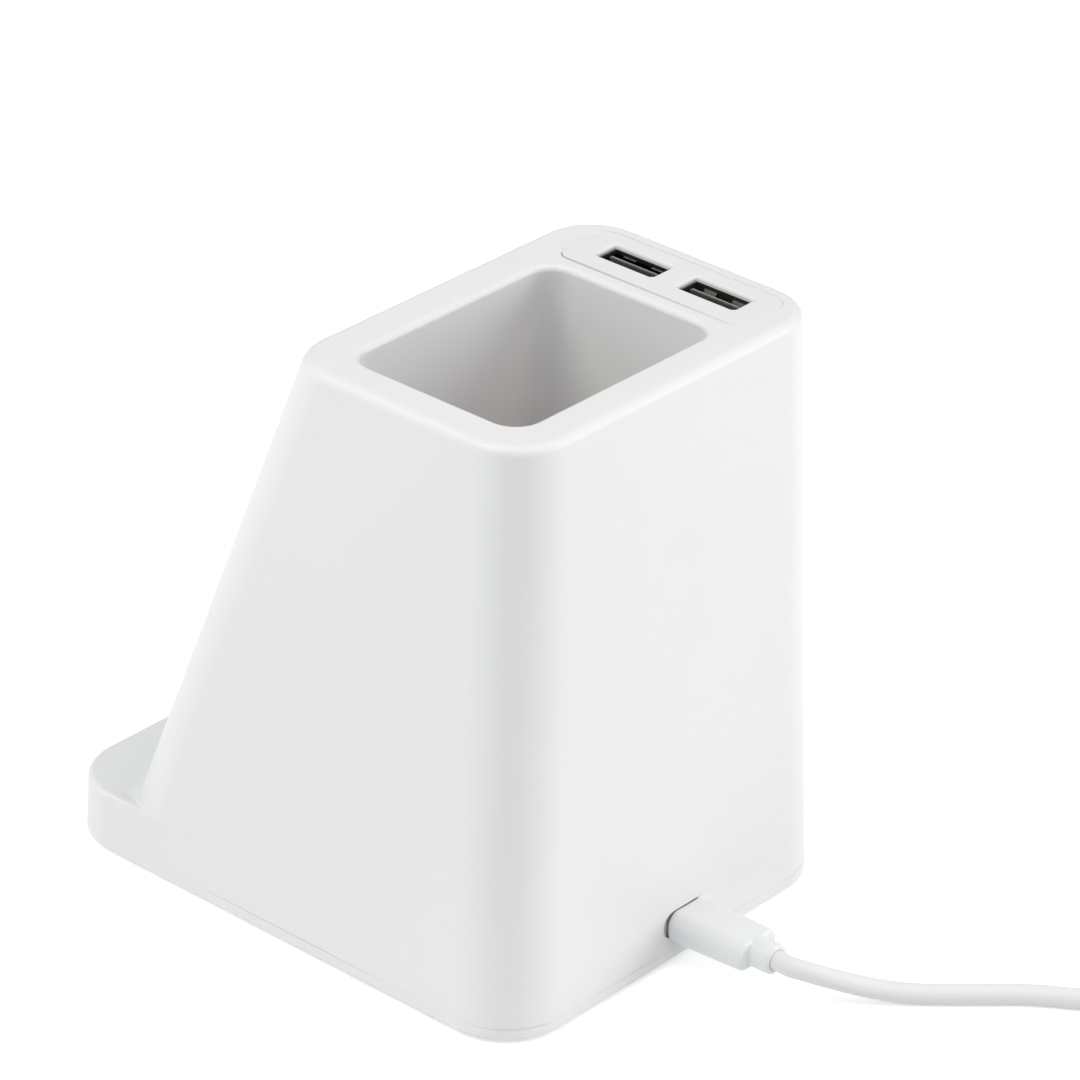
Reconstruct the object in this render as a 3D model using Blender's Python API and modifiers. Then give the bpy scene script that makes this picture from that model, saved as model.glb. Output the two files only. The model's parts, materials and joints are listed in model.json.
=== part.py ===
"""Wireless charger with a pen cup, a sloped phone rest, two USB-A outlets and its USB-C supply cable.

Metres, +Z up. The origin is on the table, under the middle of the housing's footprint.
The phone leans on the -Y face, the cable leaves the +Y face, and the USB-A outlets are on the -X side.
"""

import math

import bmesh
import bpy
from mathutils import Matrix, Vector

# Gaps and cutting
GAP = 0.0003
OVERRUN = 0.001
ARC_STEPS = 12
SIDE_STEPS = 6
SMALL_ARC_STEPS = 5
EDGE_STEPS = 3
ROUND_STEPS = 24
HOLE_STEPS = 14
SCREW_STEPS = 12
MERGE = 0.00001

# Housing, outside
HEIGHT = 0.1158
FOOT_STAND = 0.0008
BASE_WIDTH = 0.0895
BASE_DEPTH = 0.11335
SIDE_LEAN = 0.00445
REAR_LEAN = 0.0040
FRONT_LEAN = 0.0003
BASE_CORNER_RADIUS = 0.013
TOP_CORNER_RADIUS = 0.0107
TOP_EDGE_RADIUS = 0.0018
SLOPE_ANGLE = math.radians(69.1)
SLOPE_TOP_SHARE = -0.0291

# Ledge that the phone stands on
LEDGE_HEIGHT = 0.0126
LEDGE_EDGE_RADIUS = 0.0012
GROOVE_DEPTH = 0.0026
GROOVE_RADIUS = 0.0025

# Housing, inside
WALL = 0.0022
LEDGE_WALL = 0.0027
TOP_WALL = 0.0024
BOSS_RADIUS = 0.0034
BOSS_TOP = 0.016
BOSS_SIDE_INSET = 0.00875
BOSS_END_INSET = 0.025675
RIB_WIDTH = 0.0018

# Pen cup, placed by the rims that are left round it
CUP_SIDE_RIM = 0.0079
CUP_REAR_RIM = 0.008
CUP_FRONT_RIM = 0.0088
CUP_PANEL_GAP = 0.003
CUP_FLOOR_Z = 0.022
CUP_CORNER_RADIUS = 0.005
CUP_DRAFT = 0.001
CUP_LIP_RADIUS = 0.0012
CUP_FLOOR_RADIUS = 0.0025
CUP_WALL = 0.002

# Base cover
SEAM_HEIGHT = 0.0029
COVER_EDGE_RADIUS = 0.0005
LIP_HEIGHT = 0.0018
LIP_WIDTH = 0.0014
PAD_HEIGHT = 0.0019

# Screws
SCREW_RADIUS = 0.0013
SCREW_LENGTH = 0.0072
HEAD_RADIUS = 0.0025
HEAD_HEIGHT = 0.0015
HEAD_SINK = 0.0002
SMALL_SCREW_RADIUS = 0.0009
SMALL_SCREW_LENGTH = 0.0044
SMALL_HEAD_RADIUS = 0.0017
SMALL_HEAD_HEIGHT = 0.0011
DRIVE_RADIUS = 0.0008
DRIVE_DEPTH = 0.0006

# Feet
FOOT_RADIUS = 0.005
FOOT_SINK = 0.0004
FOOT_SIDE_INSET = 0.01225
FOOT_END_INSET = 0.012175
FOOT_EDGE_RADIUS = 0.0004

# USB-A panel in the top, placed by the rims that are left round it
PANEL_WIDTH = 0.014
PANEL_SIDE_RIM = 0.0034
PANEL_REAR_RIM = 0.0056
PANEL_FRONT_RIM = 0.0073
PANEL_CORNER_RADIUS = 0.0033
PANEL_THICKNESS = 0.0016
PANEL_EDGE_RADIUS = 0.0002
SHELF_WIDTH = 0.001
SLOT_WIDTH = 0.0057
SLOT_END_MARGIN = 0.00545
SLOT_SPACING = 0.0056
SLOT_OFFSET = 0.0007
SLOT_CHAMFER = 0.0004
POST_RADIUS = 0.0017
HOOK_LENGTH = 0.005
HOOK_WIDTH = 0.001
HOOK_BARB = 0.0004
HOOK_HEIGHT = 0.0014

# USB-A sockets and their board
SOCKET_WALL = 0.0003
SOCKET_RECESS = 0.0007
SOCKET_DEPTH = 0.0147
SOCKET_FLOOR = 0.0035
TONGUE_A_MARGIN = 0.00095
TONGUE_A_THICKNESS = 0.0018
TONGUE_A_OFFSET = 0.001
TONGUE_A_SINK = 0.0002
SOCKET_BOARD_WIDTH = 0.0124
SOCKET_BOARD_MARGIN = 0.00095
SOCKET_BOARD_THICKNESS = 0.0016

# USB-C port in the rear
PORT_X = -0.0034
PORT_Z = 0.00757
PORT_RECESS = 0.0004
OPENING_WIDTH = 0.0122
OPENING_HEIGHT = 0.0054
OPENING_RADIUS = 0.0026
OPENING_OFFSET = 0.0008
OPENING_RISE = 0.00045
RECEPTACLE_WIDTH = 0.0095
RECEPTACLE_HEIGHT = 0.0037
RECEPTACLE_LENGTH = 0.0078
RECEPTACLE_WALL = 0.0003
TONGUE_C_WIDTH = 0.0064
TONGUE_C_THICKNESS = 0.0007
TONGUE_C_LENGTH = 0.0048
TONGUE_C_BLOCK = 0.0014

# Main board and what is on it
BOARD_SIDE_ROOM = 0.01675
BOARD_LENGTH = 0.044
BOARD_THICKNESS = 0.0012
BOARD_CORNER_RADIUS = 0.002
BOARD_POST_RADIUS = 0.0026
BOARD_POST_INSET = 0.0035
BOARD_POST_STAND = 0.0004
CHIP_SIDE = 0.007
DRIVER_SIDE = 0.005
CHIP_HEIGHT = 0.001
INDUCTOR_SIDE = 0.007
INDUCTOR_HEIGHT = 0.0032
INDUCTOR_BEVEL = 0.0012
CAPACITOR_RADIUS = 0.00315
CAPACITOR_HEIGHT = 0.006
CAPACITOR_GROOVE = 0.0003
CAPACITOR_GROOVE_Z = 0.0014
CONTROLLER_PLACE_SHARES = (-0.14, 0.0)
DRIVER_PLACE_SHARES = (0.2, -0.2)
INDUCTOR_PLACE_SHARES = (0.2, 0.2)
CAPACITOR_PLACE_SHARES = ((-0.33, 0.0), (-0.33, 0.2))

# Charging coil behind the slope
COIL_PLACE_SHARE = 0.5475
COIL_OUTER_RADIUS = 0.023
COIL_INNER_RADIUS = 0.0102
COIL_THICKNESS = 0.002
COIL_EDGE_RADIUS = 0.0006
COIL_STEPS = 32
FERRITE_SIDE = 0.048
FERRITE_THICKNESS = 0.001
FERRITE_CORNER_RADIUS = 0.003
CARRIER_WIDTH = 0.052
CARRIER_LENGTH = 0.06
CARRIER_THICKNESS = 0.0018
CARRIER_CORNER_RADIUS = 0.004
CARRIER_WINDOW_RADIUS = 0.008
CARRIER_BOSS_RADIUS = 0.0026
CARRIER_BOSS_X = 0.0225
CARRIER_BOSS_Y = 0.0265
LEAD_RADIUS = 0.0006
COIL_LEAD_X = 0.003
SOCKET_LEAD_RADIUS = 0.0008

# USB-C plug on the supply cable
PLUG_WIDTH = 0.0106
PLUG_THICKNESS = 0.006
PLUG_LENGTH = 0.0159
PLUG_CORNER_RADIUS = 0.0026
PLUG_EDGE_RADIUS = 0.0011
PLUG_SHELL_WIDTH = 0.0083
PLUG_SHELL_THICKNESS = 0.0025
PLUG_SHELL_LENGTH = 0.0066
PLUG_SHELL_WALL = 0.0004
RELIEF_RADIUS = 0.003
RELIEF_LENGTH = 0.004
RELIEF_NECK_RADIUS = 0.0023
RELIEF_NECK_LENGTH = 0.0004
RELIEF_RING_LENGTH = 0.001
RELIEF_EDGE = 0.0004

# USB-A plug on the cable's far end
PLUG_A_WIDTH = 0.0154
PLUG_A_THICKNESS = 0.0076
PLUG_A_LENGTH = 0.023
PLUG_A_CORNER_RADIUS = 0.0022
PLUG_A_SHELL_WIDTH = 0.012
PLUG_A_SHELL_THICKNESS = 0.0045
PLUG_A_SHELL_LENGTH = 0.0119
PLUG_A_SHELL_WALL = 0.0004
PLUG_A_INSERT_THICKNESS = 0.0018
PLUG_A_RELIEF_RADIUS = 0.0033
PLUG_A_RELIEF_END_RADIUS = 0.0024
PLUG_A_RELIEF_LENGTH = 0.009

# Supply cable: the seen run is a list of points chosen by hand, the rest is wound in a coil
CABLE_RADIUS = 0.0019
CABLE_POINT_SPACING = 0.0036
CABLE_ROUTE = (
    (-0.0036, 0.0802, 0.0074),
    (-0.0047, 0.0820, 0.0070),
    (-0.0060, 0.0838, 0.0064),
    (-0.0090, 0.0868, 0.0050),
    (-0.0122, 0.0898, 0.0036),
    (-0.0153, 0.0929, 0.0026),
    (-0.0183, 0.0961, 0.0020),
    (-0.0211, 0.0992, 0.0019),
    (-0.0268, 0.1053, 0.0019),
    (-0.0327, 0.1117, 0.0019),
    (-0.0376, 0.1188, 0.0019),
    (-0.0445, 0.1292, 0.0019),
    (-0.0518, 0.1407, 0.0019),
    (-0.0592, 0.1523, 0.0019),
)
LAP_TURNS = 3
LAP_GAP = 0.0005
LAYER_GAP = 0.00045
LOOP_POINTS = 24
COIL_LEAD_IN_HEADING = math.radians(123)
COIL_LEAD_OUT_HEADING = 0.0
CABLE_COIL_RADIUS = 0.028
TAIL_DROP_LENGTH = 0.024


# What the sizes above give
BASE_Z = FOOT_STAND
TOP_WIDTH = BASE_WIDTH - 2 * SIDE_LEAN
TOP_REAR_Y = BASE_DEPTH / 2 - REAR_LEAN
SLOPE_TOP_Y = BASE_DEPTH * SLOPE_TOP_SHARE
TOP_DEPTH = TOP_REAR_Y - SLOPE_TOP_Y
PANEL_LENGTH = TOP_DEPTH - PANEL_REAR_RIM - PANEL_FRONT_RIM
PANEL_X = PANEL_WIDTH / 2 + PANEL_SIDE_RIM - TOP_WIDTH / 2
PANEL_Y = TOP_REAR_Y - PANEL_REAR_RIM - PANEL_LENGTH / 2
CUP_WIDTH = TOP_WIDTH - CUP_SIDE_RIM - CUP_PANEL_GAP - PANEL_WIDTH - PANEL_SIDE_RIM
CUP_DEPTH = TOP_DEPTH - CUP_REAR_RIM - CUP_FRONT_RIM
CUP_X = TOP_WIDTH / 2 - CUP_SIDE_RIM - CUP_WIDTH / 2
CUP_Y = TOP_REAR_Y - CUP_REAR_RIM - CUP_DEPTH / 2
SLOT_LENGTH = (PANEL_LENGTH - SLOT_SPACING) / 2 - SLOT_END_MARGIN
SLOT_PITCH = SLOT_LENGTH + SLOT_SPACING
SLOT_X = PANEL_X - SLOT_OFFSET
SOCKET_WIDTH = SLOT_WIDTH - 2 * GAP
SOCKET_LENGTH = SLOT_LENGTH - 2 * GAP
TONGUE_A_WIDTH = SLOT_LENGTH - 2 * TONGUE_A_MARGIN
OPENING_X = PORT_X + OPENING_OFFSET
OPENING_Z = PORT_Z + OPENING_RISE
SOCKET_BOARD_LENGTH = PANEL_LENGTH - 2 * SOCKET_BOARD_MARGIN
BOARD_WIDTH = BASE_WIDTH - 2 * BOARD_SIDE_ROOM
BOSS_X = BASE_WIDTH / 2 - BOSS_SIDE_INSET
BOSS_Y = BASE_DEPTH / 2 - BOSS_END_INSET
FOOT_X = BASE_WIDTH / 2 - FOOT_SIDE_INSET
FOOT_Y = BASE_DEPTH / 2 - FOOT_END_INSET
HOUSING_Z = SEAM_HEIGHT + GAP
SLOPE_RUN = 1 / math.tan(SLOPE_ANGLE)
SLOPE_UP = Vector((0, math.cos(SLOPE_ANGLE), math.sin(SLOPE_ANGLE)))
SLOPE_OUT = Vector((0, -math.sin(SLOPE_ANGLE), math.cos(SLOPE_ANGLE)))
LEDGE_UNDERSIDE = LEDGE_HEIGHT - GROOVE_DEPTH - LEDGE_WALL
CAVITY_TOP = HEIGHT - TOP_WALL
PAD_TOP = SEAM_HEIGHT + PAD_HEIGHT
BOSS_BOTTOM = PAD_TOP + GAP
BOARD_Z = PORT_Z + RECEPTACLE_HEIGHT / 2 + GAP
BOARD_TOP = BOARD_Z + BOARD_THICKNESS
PANEL_UNDERSIDE = HEIGHT - PANEL_THICKNESS
SOCKET_TOP = HEIGHT - SOCKET_RECESS
SOCKET_BOTTOM = SOCKET_TOP - SOCKET_DEPTH
SOCKET_BOARD_TOP = SOCKET_BOTTOM - GAP
SOCKET_BOARD_Z = SOCKET_BOARD_TOP - SOCKET_BOARD_THICKNESS
POST_Y = SLOT_PITCH / 2 + SLOT_LENGTH / 2 + GAP + POST_RADIUS
SCREW_HOLE_RADIUS = SCREW_RADIUS + GAP
SMALL_HOLE_RADIUS = SMALL_SCREW_RADIUS + GAP
CARRIER_STACK = WALL + COIL_THICKNESS + FERRITE_THICKNESS + 3 * GAP


def share_of_height(z):
    return (z - BASE_Z) / (HEIGHT - BASE_Z)


def between(low, high, share):
    return low + (high - low) * share


def half_width(z):
    """Half the housing's width at height z: the sides draw in towards the top."""
    return between(BASE_WIDTH, TOP_WIDTH, share_of_height(z)) / 2


def rear_y(z):
    return BASE_DEPTH / 2 - REAR_LEAN * share_of_height(z)


def front_y(z):
    """The front wall below the ledge."""
    return -BASE_DEPTH / 2 + FRONT_LEAN * (z - BASE_Z) / (LEDGE_HEIGHT - BASE_Z)


def slope_y(z):
    return SLOPE_TOP_Y - (HEIGHT - z) * SLOPE_RUN


def corner_radius(z):
    return between(BASE_CORNER_RADIUS, TOP_CORNER_RADIUS, share_of_height(z))


PORT_Y = rear_y(PORT_Z) - PORT_RECESS
PLUG_Y = rear_y(PORT_Z - PLUG_THICKNESS / 2) + GAP
PLUG_END_Y = PLUG_Y + PLUG_LENGTH
BOARD_REAR_Y = rear_y(PORT_Z) - WALL - 2 * GAP
BOARD_Y = BOARD_REAR_Y - BOARD_LENGTH / 2
GROOVE_Z = LEDGE_HEIGHT - GROOVE_DEPTH
COIL_Z = between(GROOVE_Z, HEIGHT, COIL_PLACE_SHARE)
COIL_CENTRE = Vector((0, slope_y(COIL_Z), COIL_Z))


def clear_scene():
    for item in list(bpy.data.objects):
        bpy.data.objects.remove(item, do_unlink=True)


def collection_named(name, shown):
    made = bpy.data.collections.new(name)
    made.hide_render = not shown
    bpy.context.scene.collection.children.link(made)
    return made


clear_scene()
PARTS = collection_named("pen_holder_charger", True)
CUTTERS = collection_named("cutters", False)


def material(name, colour, roughness, metallic=0.0):
    made = bpy.data.materials.new(name)
    made.use_nodes = True
    shader = made.node_tree.nodes["Principled BSDF"]
    shader.inputs["Base Color"].default_value = (*colour, 1.0)
    shader.inputs["Roughness"].default_value = roughness
    shader.inputs["Metallic"].default_value = metallic
    return made


def place(name, data, coat):
    """A visible sub-part from mesh or curve data."""
    made = bpy.data.objects.new(name, data)
    PARTS.objects.link(made)
    if coat is not None:
        data.materials.append(coat)
    return made


def mesh_from(name, work):
    data = bpy.data.meshes.new(name)
    work.to_mesh(data)
    work.free()
    return data


def smooth(part, angle_share=6):
    part.data.shade_smooth()
    part.data.set_sharp_from_angle(angle=math.pi / angle_share)


def as_cutter(name, data):
    made = bpy.data.objects.new(name, data)
    CUTTERS.objects.link(made)
    made.hide_render = True
    made.display_type = "WIRE"
    return made


def combine(part, other, operation):
    step = part.modifiers.new(other.name, "BOOLEAN")
    step.operation = operation
    step.solver = "EXACT"
    step.object = other


def cut(part, *cutters):
    for cutter in cutters:
        combine(part, cutter, "DIFFERENCE")


def join(part, *others):
    for other in others:
        combine(part, other, "UNION")


def loft(rings, closed=True):
    """A skin through rings of points, each running clockwise seen from above, with flat ends."""
    work = bmesh.new()
    rows = [[work.verts.new(point) for point in ring] for ring in rings]
    count = len(rows[0])
    spans = range(count) if closed else range(count - 1)
    for lower, upper in zip(rows, rows[1:]):
        for i in spans:
            j = (i + 1) % count
            work.faces.new((lower[i], upper[i], upper[j], lower[j]))
    work.faces.new(rows[0])
    work.faces.new(list(reversed(rows[-1])))
    bmesh.ops.remove_doubles(work, verts=work.verts, dist=MERGE)
    return work


def arc_through(centre_x, centre_y, radius, angles):
    return [(centre_x + radius * math.cos(a), centre_y + radius * math.sin(a)) for a in angles]


def plan_arc(centre_x, centre_y, radius, start, end, steps):
    """Points of an arc in plan, from the start angle to the end angle, in quarter turns."""
    angles = [between(start, end, i / steps) * math.pi / 2 for i in range(steps + 1)]
    return arc_through(centre_x, centre_y, radius, angles)


def rounded_ring(centre, width, depth, radius, z, steps=SMALL_ARC_STEPS):
    """A rounded rectangle, clockwise from its rear left corner."""
    x = width / 2 - radius
    y = depth / 2 - radius
    corners = ((-x, y, 2), (x, y, 1), (x, -y, 0), (-x, -y, -1))
    points = []
    for corner_x, corner_y, start in corners:
        points += plan_arc(centre[0] + corner_x, centre[1] + corner_y, radius, start, start - 1, steps)
    return [Vector((px, py, z)) for px, py in points]


def box(centre, size):
    work = bmesh.new()
    matrix = Matrix.Translation(centre) @ Matrix.Diagonal((*size, 1))
    bmesh.ops.create_cube(work, size=1, matrix=matrix)
    return work


def bevel_edges(work, edges, radius, steps):
    bmesh.ops.bevel(
        work, geom=edges, offset=radius, offset_type="OFFSET", segments=steps, profile=1 / 2, affect="EDGES"
    )


def rounded_block(centre, width, depth, radius, bottom, top, edge_radius=0.0, foot_radius=0.0):
    """A block with rounded upright corners, and rounded edges above and below if they have a radius."""
    work = box((*centre, (bottom + top) / 2), (width, depth, top - bottom))
    upright = [e for e in work.edges if abs(e.verts[0].co.z - e.verts[1].co.z) > MERGE]
    bevel_edges(work, upright, radius, SMALL_ARC_STEPS)
    for z, rounding in ((top, edge_radius), (bottom, foot_radius)):
        if rounding:
            rim = [e for e in work.edges if all(abs(v.co.z - z) < MERGE for v in e.verts)]
            bevel_edges(work, rim, rounding, EDGE_STEPS)
    return work


def cylinder(x, y, radius, bottom, top, steps=HOLE_STEPS):
    work = bmesh.new()
    bmesh.ops.create_cone(
        work,
        cap_ends=True,
        segments=steps,
        radius1=radius,
        radius2=radius,
        depth=top - bottom,
        matrix=Matrix.Translation((x, y, (top + bottom) / 2)),
    )
    return work


def cylinder_at(matrix, radius, bottom, top, steps=HOLE_STEPS):
    """A cylinder along the matrix's own Z."""
    work = cylinder(0, 0, radius, bottom, top, steps)
    bmesh.ops.transform(work, matrix=matrix, verts=work.verts)
    return work


def together(*works):
    """Several shapes that don't touch, in one mesh, to cut with."""
    whole = bmesh.new()
    for work in works:
        data = mesh_from("piece", work)
        whole.from_mesh(data)
        bpy.data.meshes.remove(data)
    return whole


def turned(name, profile, coat, steps=ROUND_STEPS):
    """A turned piece: its profile of (radius, height) runs from the top of the axis, down outside, to the bottom."""
    data = bpy.data.meshes.new(name)
    points = [(radius, 0, height) for radius, height in profile]
    edges = [(i, i + 1) for i in range(len(points) - 1)]
    data.from_pydata(points, edges, [])
    made = place(name, data, coat)
    turn = made.modifiers.new("turn", "SCREW")
    turn.steps = steps
    turn.render_steps = steps
    turn.use_merge_vertices = True
    turn.merge_threshold = MERGE
    return made


def tube(name, points, radius, resolution, coat):
    data = bpy.data.curves.new(name, "CURVE")
    data.dimensions = "3D"
    data.bevel_depth = radius
    data.bevel_resolution = resolution
    data.use_fill_caps = True
    spline = data.splines.new("POLY")
    spline.points.add(len(points) - 1)
    for target, point in zip(spline.points, points):
        target.co = (*point, 1)
    return place(name, data, coat)


def direction_at(before, point, after):
    """The direction of the smooth curve at a point, from its neighbours and how near they are."""
    arriving = point - before
    leaving = after - point
    slow = arriving.length
    quick = leaving.length
    return (arriving * quick / slow + leaving * slow / quick) / (slow + quick)


def smooth_route(points, spacing):
    """Points at even steps along a smooth curve that passes through the given ones."""
    points = [Vector(point) for point in points]
    padded = [2 * points[0] - points[1], *points, 2 * points[-1] - points[-2]]
    fine = []
    steps = 16
    for before, start, end, after in zip(padded, padded[1:], padded[2:], padded[3:]):
        span = (end - start).length
        leave = direction_at(before, start, end) * span
        arrive = direction_at(start, end, after) * span
        for i in range(steps):
            t = i / steps
            fine.append(
                (2 * t**3 - 3 * t**2 + 1) * start
                + (t**3 - 2 * t**2 + t) * leave
                + (3 * t**2 - 2 * t**3) * end
                + (t**3 - t**2) * arrive
            )
    fine.append(points[-1])
    lengths = [0.0]
    for start, end in zip(fine, fine[1:]):
        lengths.append(lengths[-1] + (end - start).length)
    count = max(2, round(lengths[-1] / spacing))
    route = []
    at = 0
    for i in range(count + 1):
        wanted = lengths[-1] * i / count
        while at < len(fine) - 2 and lengths[at + 1] < wanted:
            at += 1
        share = (wanted - lengths[at]) / (lengths[at + 1] - lengths[at])
        route.append(fine[at].lerp(fine[at + 1], share))
    return route


white_plastic = material("white_plastic", (0.83, 0.83, 0.82), 0.5)
panel_plastic = material("panel_plastic", (0.8, 0.8, 0.8), 0.45)
foot_rubber = material("foot_rubber", (0.2, 0.2, 0.2), 0.8)
steel = material("steel", (0.62, 0.62, 0.64), 0.3, 1.0)
socket_steel = material("socket_steel", (0.55, 0.55, 0.56), 0.35, 1.0)
contact_plastic = material("contact_plastic", (0.03, 0.03, 0.03), 0.4)
board_laminate = material("board_laminate", (0.05, 0.22, 0.1), 0.5)
chip_black = material("chip_black", (0.04, 0.04, 0.04), 0.5)
inductor_grey = material("inductor_grey", (0.2, 0.2, 0.21), 0.6)
capacitor_sleeve = material("capacitor_sleeve", (0.12, 0.13, 0.2), 0.4)
copper = material("copper", (0.72, 0.35, 0.18), 0.35, 1.0)
ferrite = material("ferrite", (0.07, 0.07, 0.08), 0.7)
carrier_plastic = material("carrier_plastic", (0.1, 0.1, 0.1), 0.6)
lead_insulation = material("lead_insulation", (0.6, 0.08, 0.06), 0.5)
plug_plastic = material("plug_plastic", (0.82, 0.84, 0.85), 0.35)
cable_plastic = material("cable_plastic", (0.83, 0.83, 0.82), 0.45)


def front_turns():
    """Angles round the slope's corner: evenly along the side, then towards points of the ledge's corner."""
    radius = corner_radius(LEDGE_HEIGHT)
    ahead = slope_y(LEDGE_HEIGHT) - front_y(LEDGE_HEIGHT)
    turns = [math.atan2(ahead * i / SIDE_STEPS, radius) for i in range(SIDE_STEPS)]
    for i in range(ARC_STEPS + 1):
        turn = i / ARC_STEPS * math.pi / 2
        turns.append(math.atan2(ahead + radius * math.sin(turn), radius * math.cos(turn)))
    return turns


def body_outline(z, inset=0.0):
    """Half the housing's outline above the ledge, from the middle of the rear to the middle of the slope."""
    radius = corner_radius(z) - inset
    side = half_width(z) - inset - radius
    rear = rear_y(z) - inset
    front = slope_y(z) + inset
    points = [(0, rear)]
    points += plan_arc(side, rear - radius, radius, 1, 0, ARC_STEPS)
    points += arc_through(side, front + radius, radius, [-turn for turn in front_turns()])
    points.append((0, front))
    return [Vector((x, y, z)) for x, y in points]


def reach(start_x, start_y, angle, z):
    """How far a ray in plan runs from inside the housing to its outer wall below the ledge."""
    ahead_x = math.cos(angle)
    ahead_y = -math.sin(angle)
    side = half_width(z)
    front = front_y(z)
    radius = corner_radius(z)
    to_side = (side - start_x) / ahead_x if ahead_x > MERGE else math.inf
    to_front = (front - start_y) / ahead_y if ahead_y < -MERGE else math.inf
    far = min(to_side, to_front)
    corner_x = side - radius
    corner_y = front + radius
    if start_x + far * ahead_x <= corner_x or start_y + far * ahead_y >= corner_y:
        return far
    away_x = start_x - corner_x
    away_y = start_y - corner_y
    along = away_x * ahead_x + away_y * ahead_y
    return -along + math.sqrt(along**2 - away_x**2 - away_y**2 + radius**2)


def ledge_rays():
    """The start and angle of each ray that crosses the ledge: round the front corner, then the middle."""
    radius = corner_radius(LEDGE_HEIGHT)
    centre_x = half_width(LEDGE_HEIGHT) - radius
    rays = [(centre_x, turn) for turn in front_turns()]
    rays.append((0.0, math.pi / 2))
    return rays


def ledge_crossing(start_x, angle):
    """Points up and over the ledge along one ray: its edge, the rim, the groove and the foot of the slope.

    Every size shrinks with the ledge's depth, so that the ledge runs out to nothing along the side.
    """
    top = LEDGE_HEIGHT
    radius = corner_radius(top)
    start_y = slope_y(top) + radius
    far = reach(start_x, start_y, angle, top)
    depth = far - radius
    lean = math.sin(angle) * SLOPE_RUN
    floor_run = GROOVE_DEPTH / SLOPE_RUN
    share = min(1, max(0, depth) / (LEDGE_EDGE_RADIUS + floor_run + SLOPE_RUN * GROOVE_DEPTH))

    def at(inward, z, follow):
        centre_y = slope_y(z) + radius if follow else start_y
        along = radius + depth + (lean * (z - top) if follow else 0) - inward
        return Vector((start_x + along * math.cos(angle), centre_y - along * math.sin(angle), z))

    points = []
    edge = LEDGE_EDGE_RADIUS * share
    for i in range(SMALL_ARC_STEPS + 1):
        turn = i / SMALL_ARC_STEPS * math.pi / 2
        points.append(at(edge * (1 - math.cos(turn)), top - edge * (1 - math.sin(turn)), False))
    drop = GROOVE_DEPTH * share
    corner_in = depth - lean * drop
    corner_z = top - drop
    points.append(at(corner_in - drop / SLOPE_RUN, top, False))
    floor_way = Vector((-1, SLOPE_RUN)).normalized()
    slope_way = Vector((lean, 1)).normalized()
    for i in range(SMALL_ARC_STEPS + 1):
        t = i / SMALL_ARC_STEPS
        step = GROOVE_RADIUS * share * ((1 - t) ** 2 * floor_way + t**2 * slope_way)
        points.append(at(corner_in + step.x, corner_z + step.y, True))
    return points


def housing_skin():
    """Half the outside of the housing, open on the plane of symmetry."""
    back = ARC_STEPS + 2
    foot = body_outline(HOUSING_Z)[:back]
    rim = body_outline(LEDGE_HEIGHT)[:back]
    start_y = slope_y(LEDGE_HEIGHT) + corner_radius(LEDGE_HEIGHT)
    crossings = []
    for start_x, angle in ledge_rays():
        far = reach(start_x, start_y, angle, HOUSING_Z)
        x = start_x + far * math.cos(angle)
        foot.append(Vector((x, start_y - far * math.sin(angle), HOUSING_Z)))
        crossings.append(ledge_crossing(start_x, angle))
    rings = [foot]
    for level in range(len(crossings[0])):
        rings.append(rim + [crossing[level] for crossing in crossings])
    for i in range(SMALL_ARC_STEPS + 1):
        turn = i / SMALL_ARC_STEPS * math.pi / 2
        z = HEIGHT - TOP_EDGE_RADIUS * (1 - math.sin(turn))
        rings.append(body_outline(z, TOP_EDGE_RADIUS * (1 - math.cos(turn))))
    return loft(rings, closed=False)


def inner_ring(z, wall, front):
    """The inside of the wall at height z."""
    side = half_width(z) - wall
    rear = rear_y(z) - wall
    centre = (0, (rear + front) / 2)
    return rounded_ring(centre, 2 * side, rear - front, corner_radius(z) - wall, z)


def cup_ring(z, grow, radius_grow):
    """The cup's outline at height z: it draws in towards its floor."""
    share = (HEIGHT - z) / (HEIGHT - CUP_FLOOR_Z)
    width = CUP_WIDTH + 2 * (grow - CUP_DRAFT * share)
    depth = CUP_DEPTH + 2 * (grow - CUP_DRAFT * share)
    return rounded_ring((CUP_X, CUP_Y), width, depth, CUP_CORNER_RADIUS + radius_grow, z)


def cup_space():
    """What is cut out for the pens: rounded at the floor, flared at the lip."""
    rings = []
    for i in range(SMALL_ARC_STEPS + 1):
        turn = i / SMALL_ARC_STEPS * math.pi / 2
        inset = CUP_FLOOR_RADIUS * (1 - math.sin(turn))
        rings.append(cup_ring(CUP_FLOOR_Z + CUP_FLOOR_RADIUS * (1 - math.cos(turn)), -inset, -inset))
    for i in range(SMALL_ARC_STEPS + 1):
        turn = i / SMALL_ARC_STEPS * math.pi / 2
        flare = CUP_LIP_RADIUS * (1 - math.cos(turn))
        rings.append(cup_ring(HEIGHT - CUP_LIP_RADIUS * (1 - math.sin(turn)), flare, flare))
    rings.append([point + Vector((0, 0, OVERRUN)) for point in rings[-1]])
    return as_cutter("cup_space", mesh_from("cup_space", loft(rings)))


def boss_places():
    return [(x, y) for x in (-BOSS_X, BOSS_X) for y in (-BOSS_Y, BOSS_Y)]


def carrier_boss_places():
    return [(x, y) for x in (-CARRIER_BOSS_X, CARRIER_BOSS_X) for y in (-CARRIER_BOSS_Y, CARRIER_BOSS_Y)]


def slope_matrix(x=0.0, y=0.0, z=0.0):
    """A place on the slope's outer face: local Y runs up the slope and local Z out of it."""
    place_there = Matrix.Translation(COIL_CENTRE) @ Matrix.Rotation(SLOPE_ANGLE, 4, "X")
    return place_there @ Matrix.Translation((x, y, z))


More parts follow.
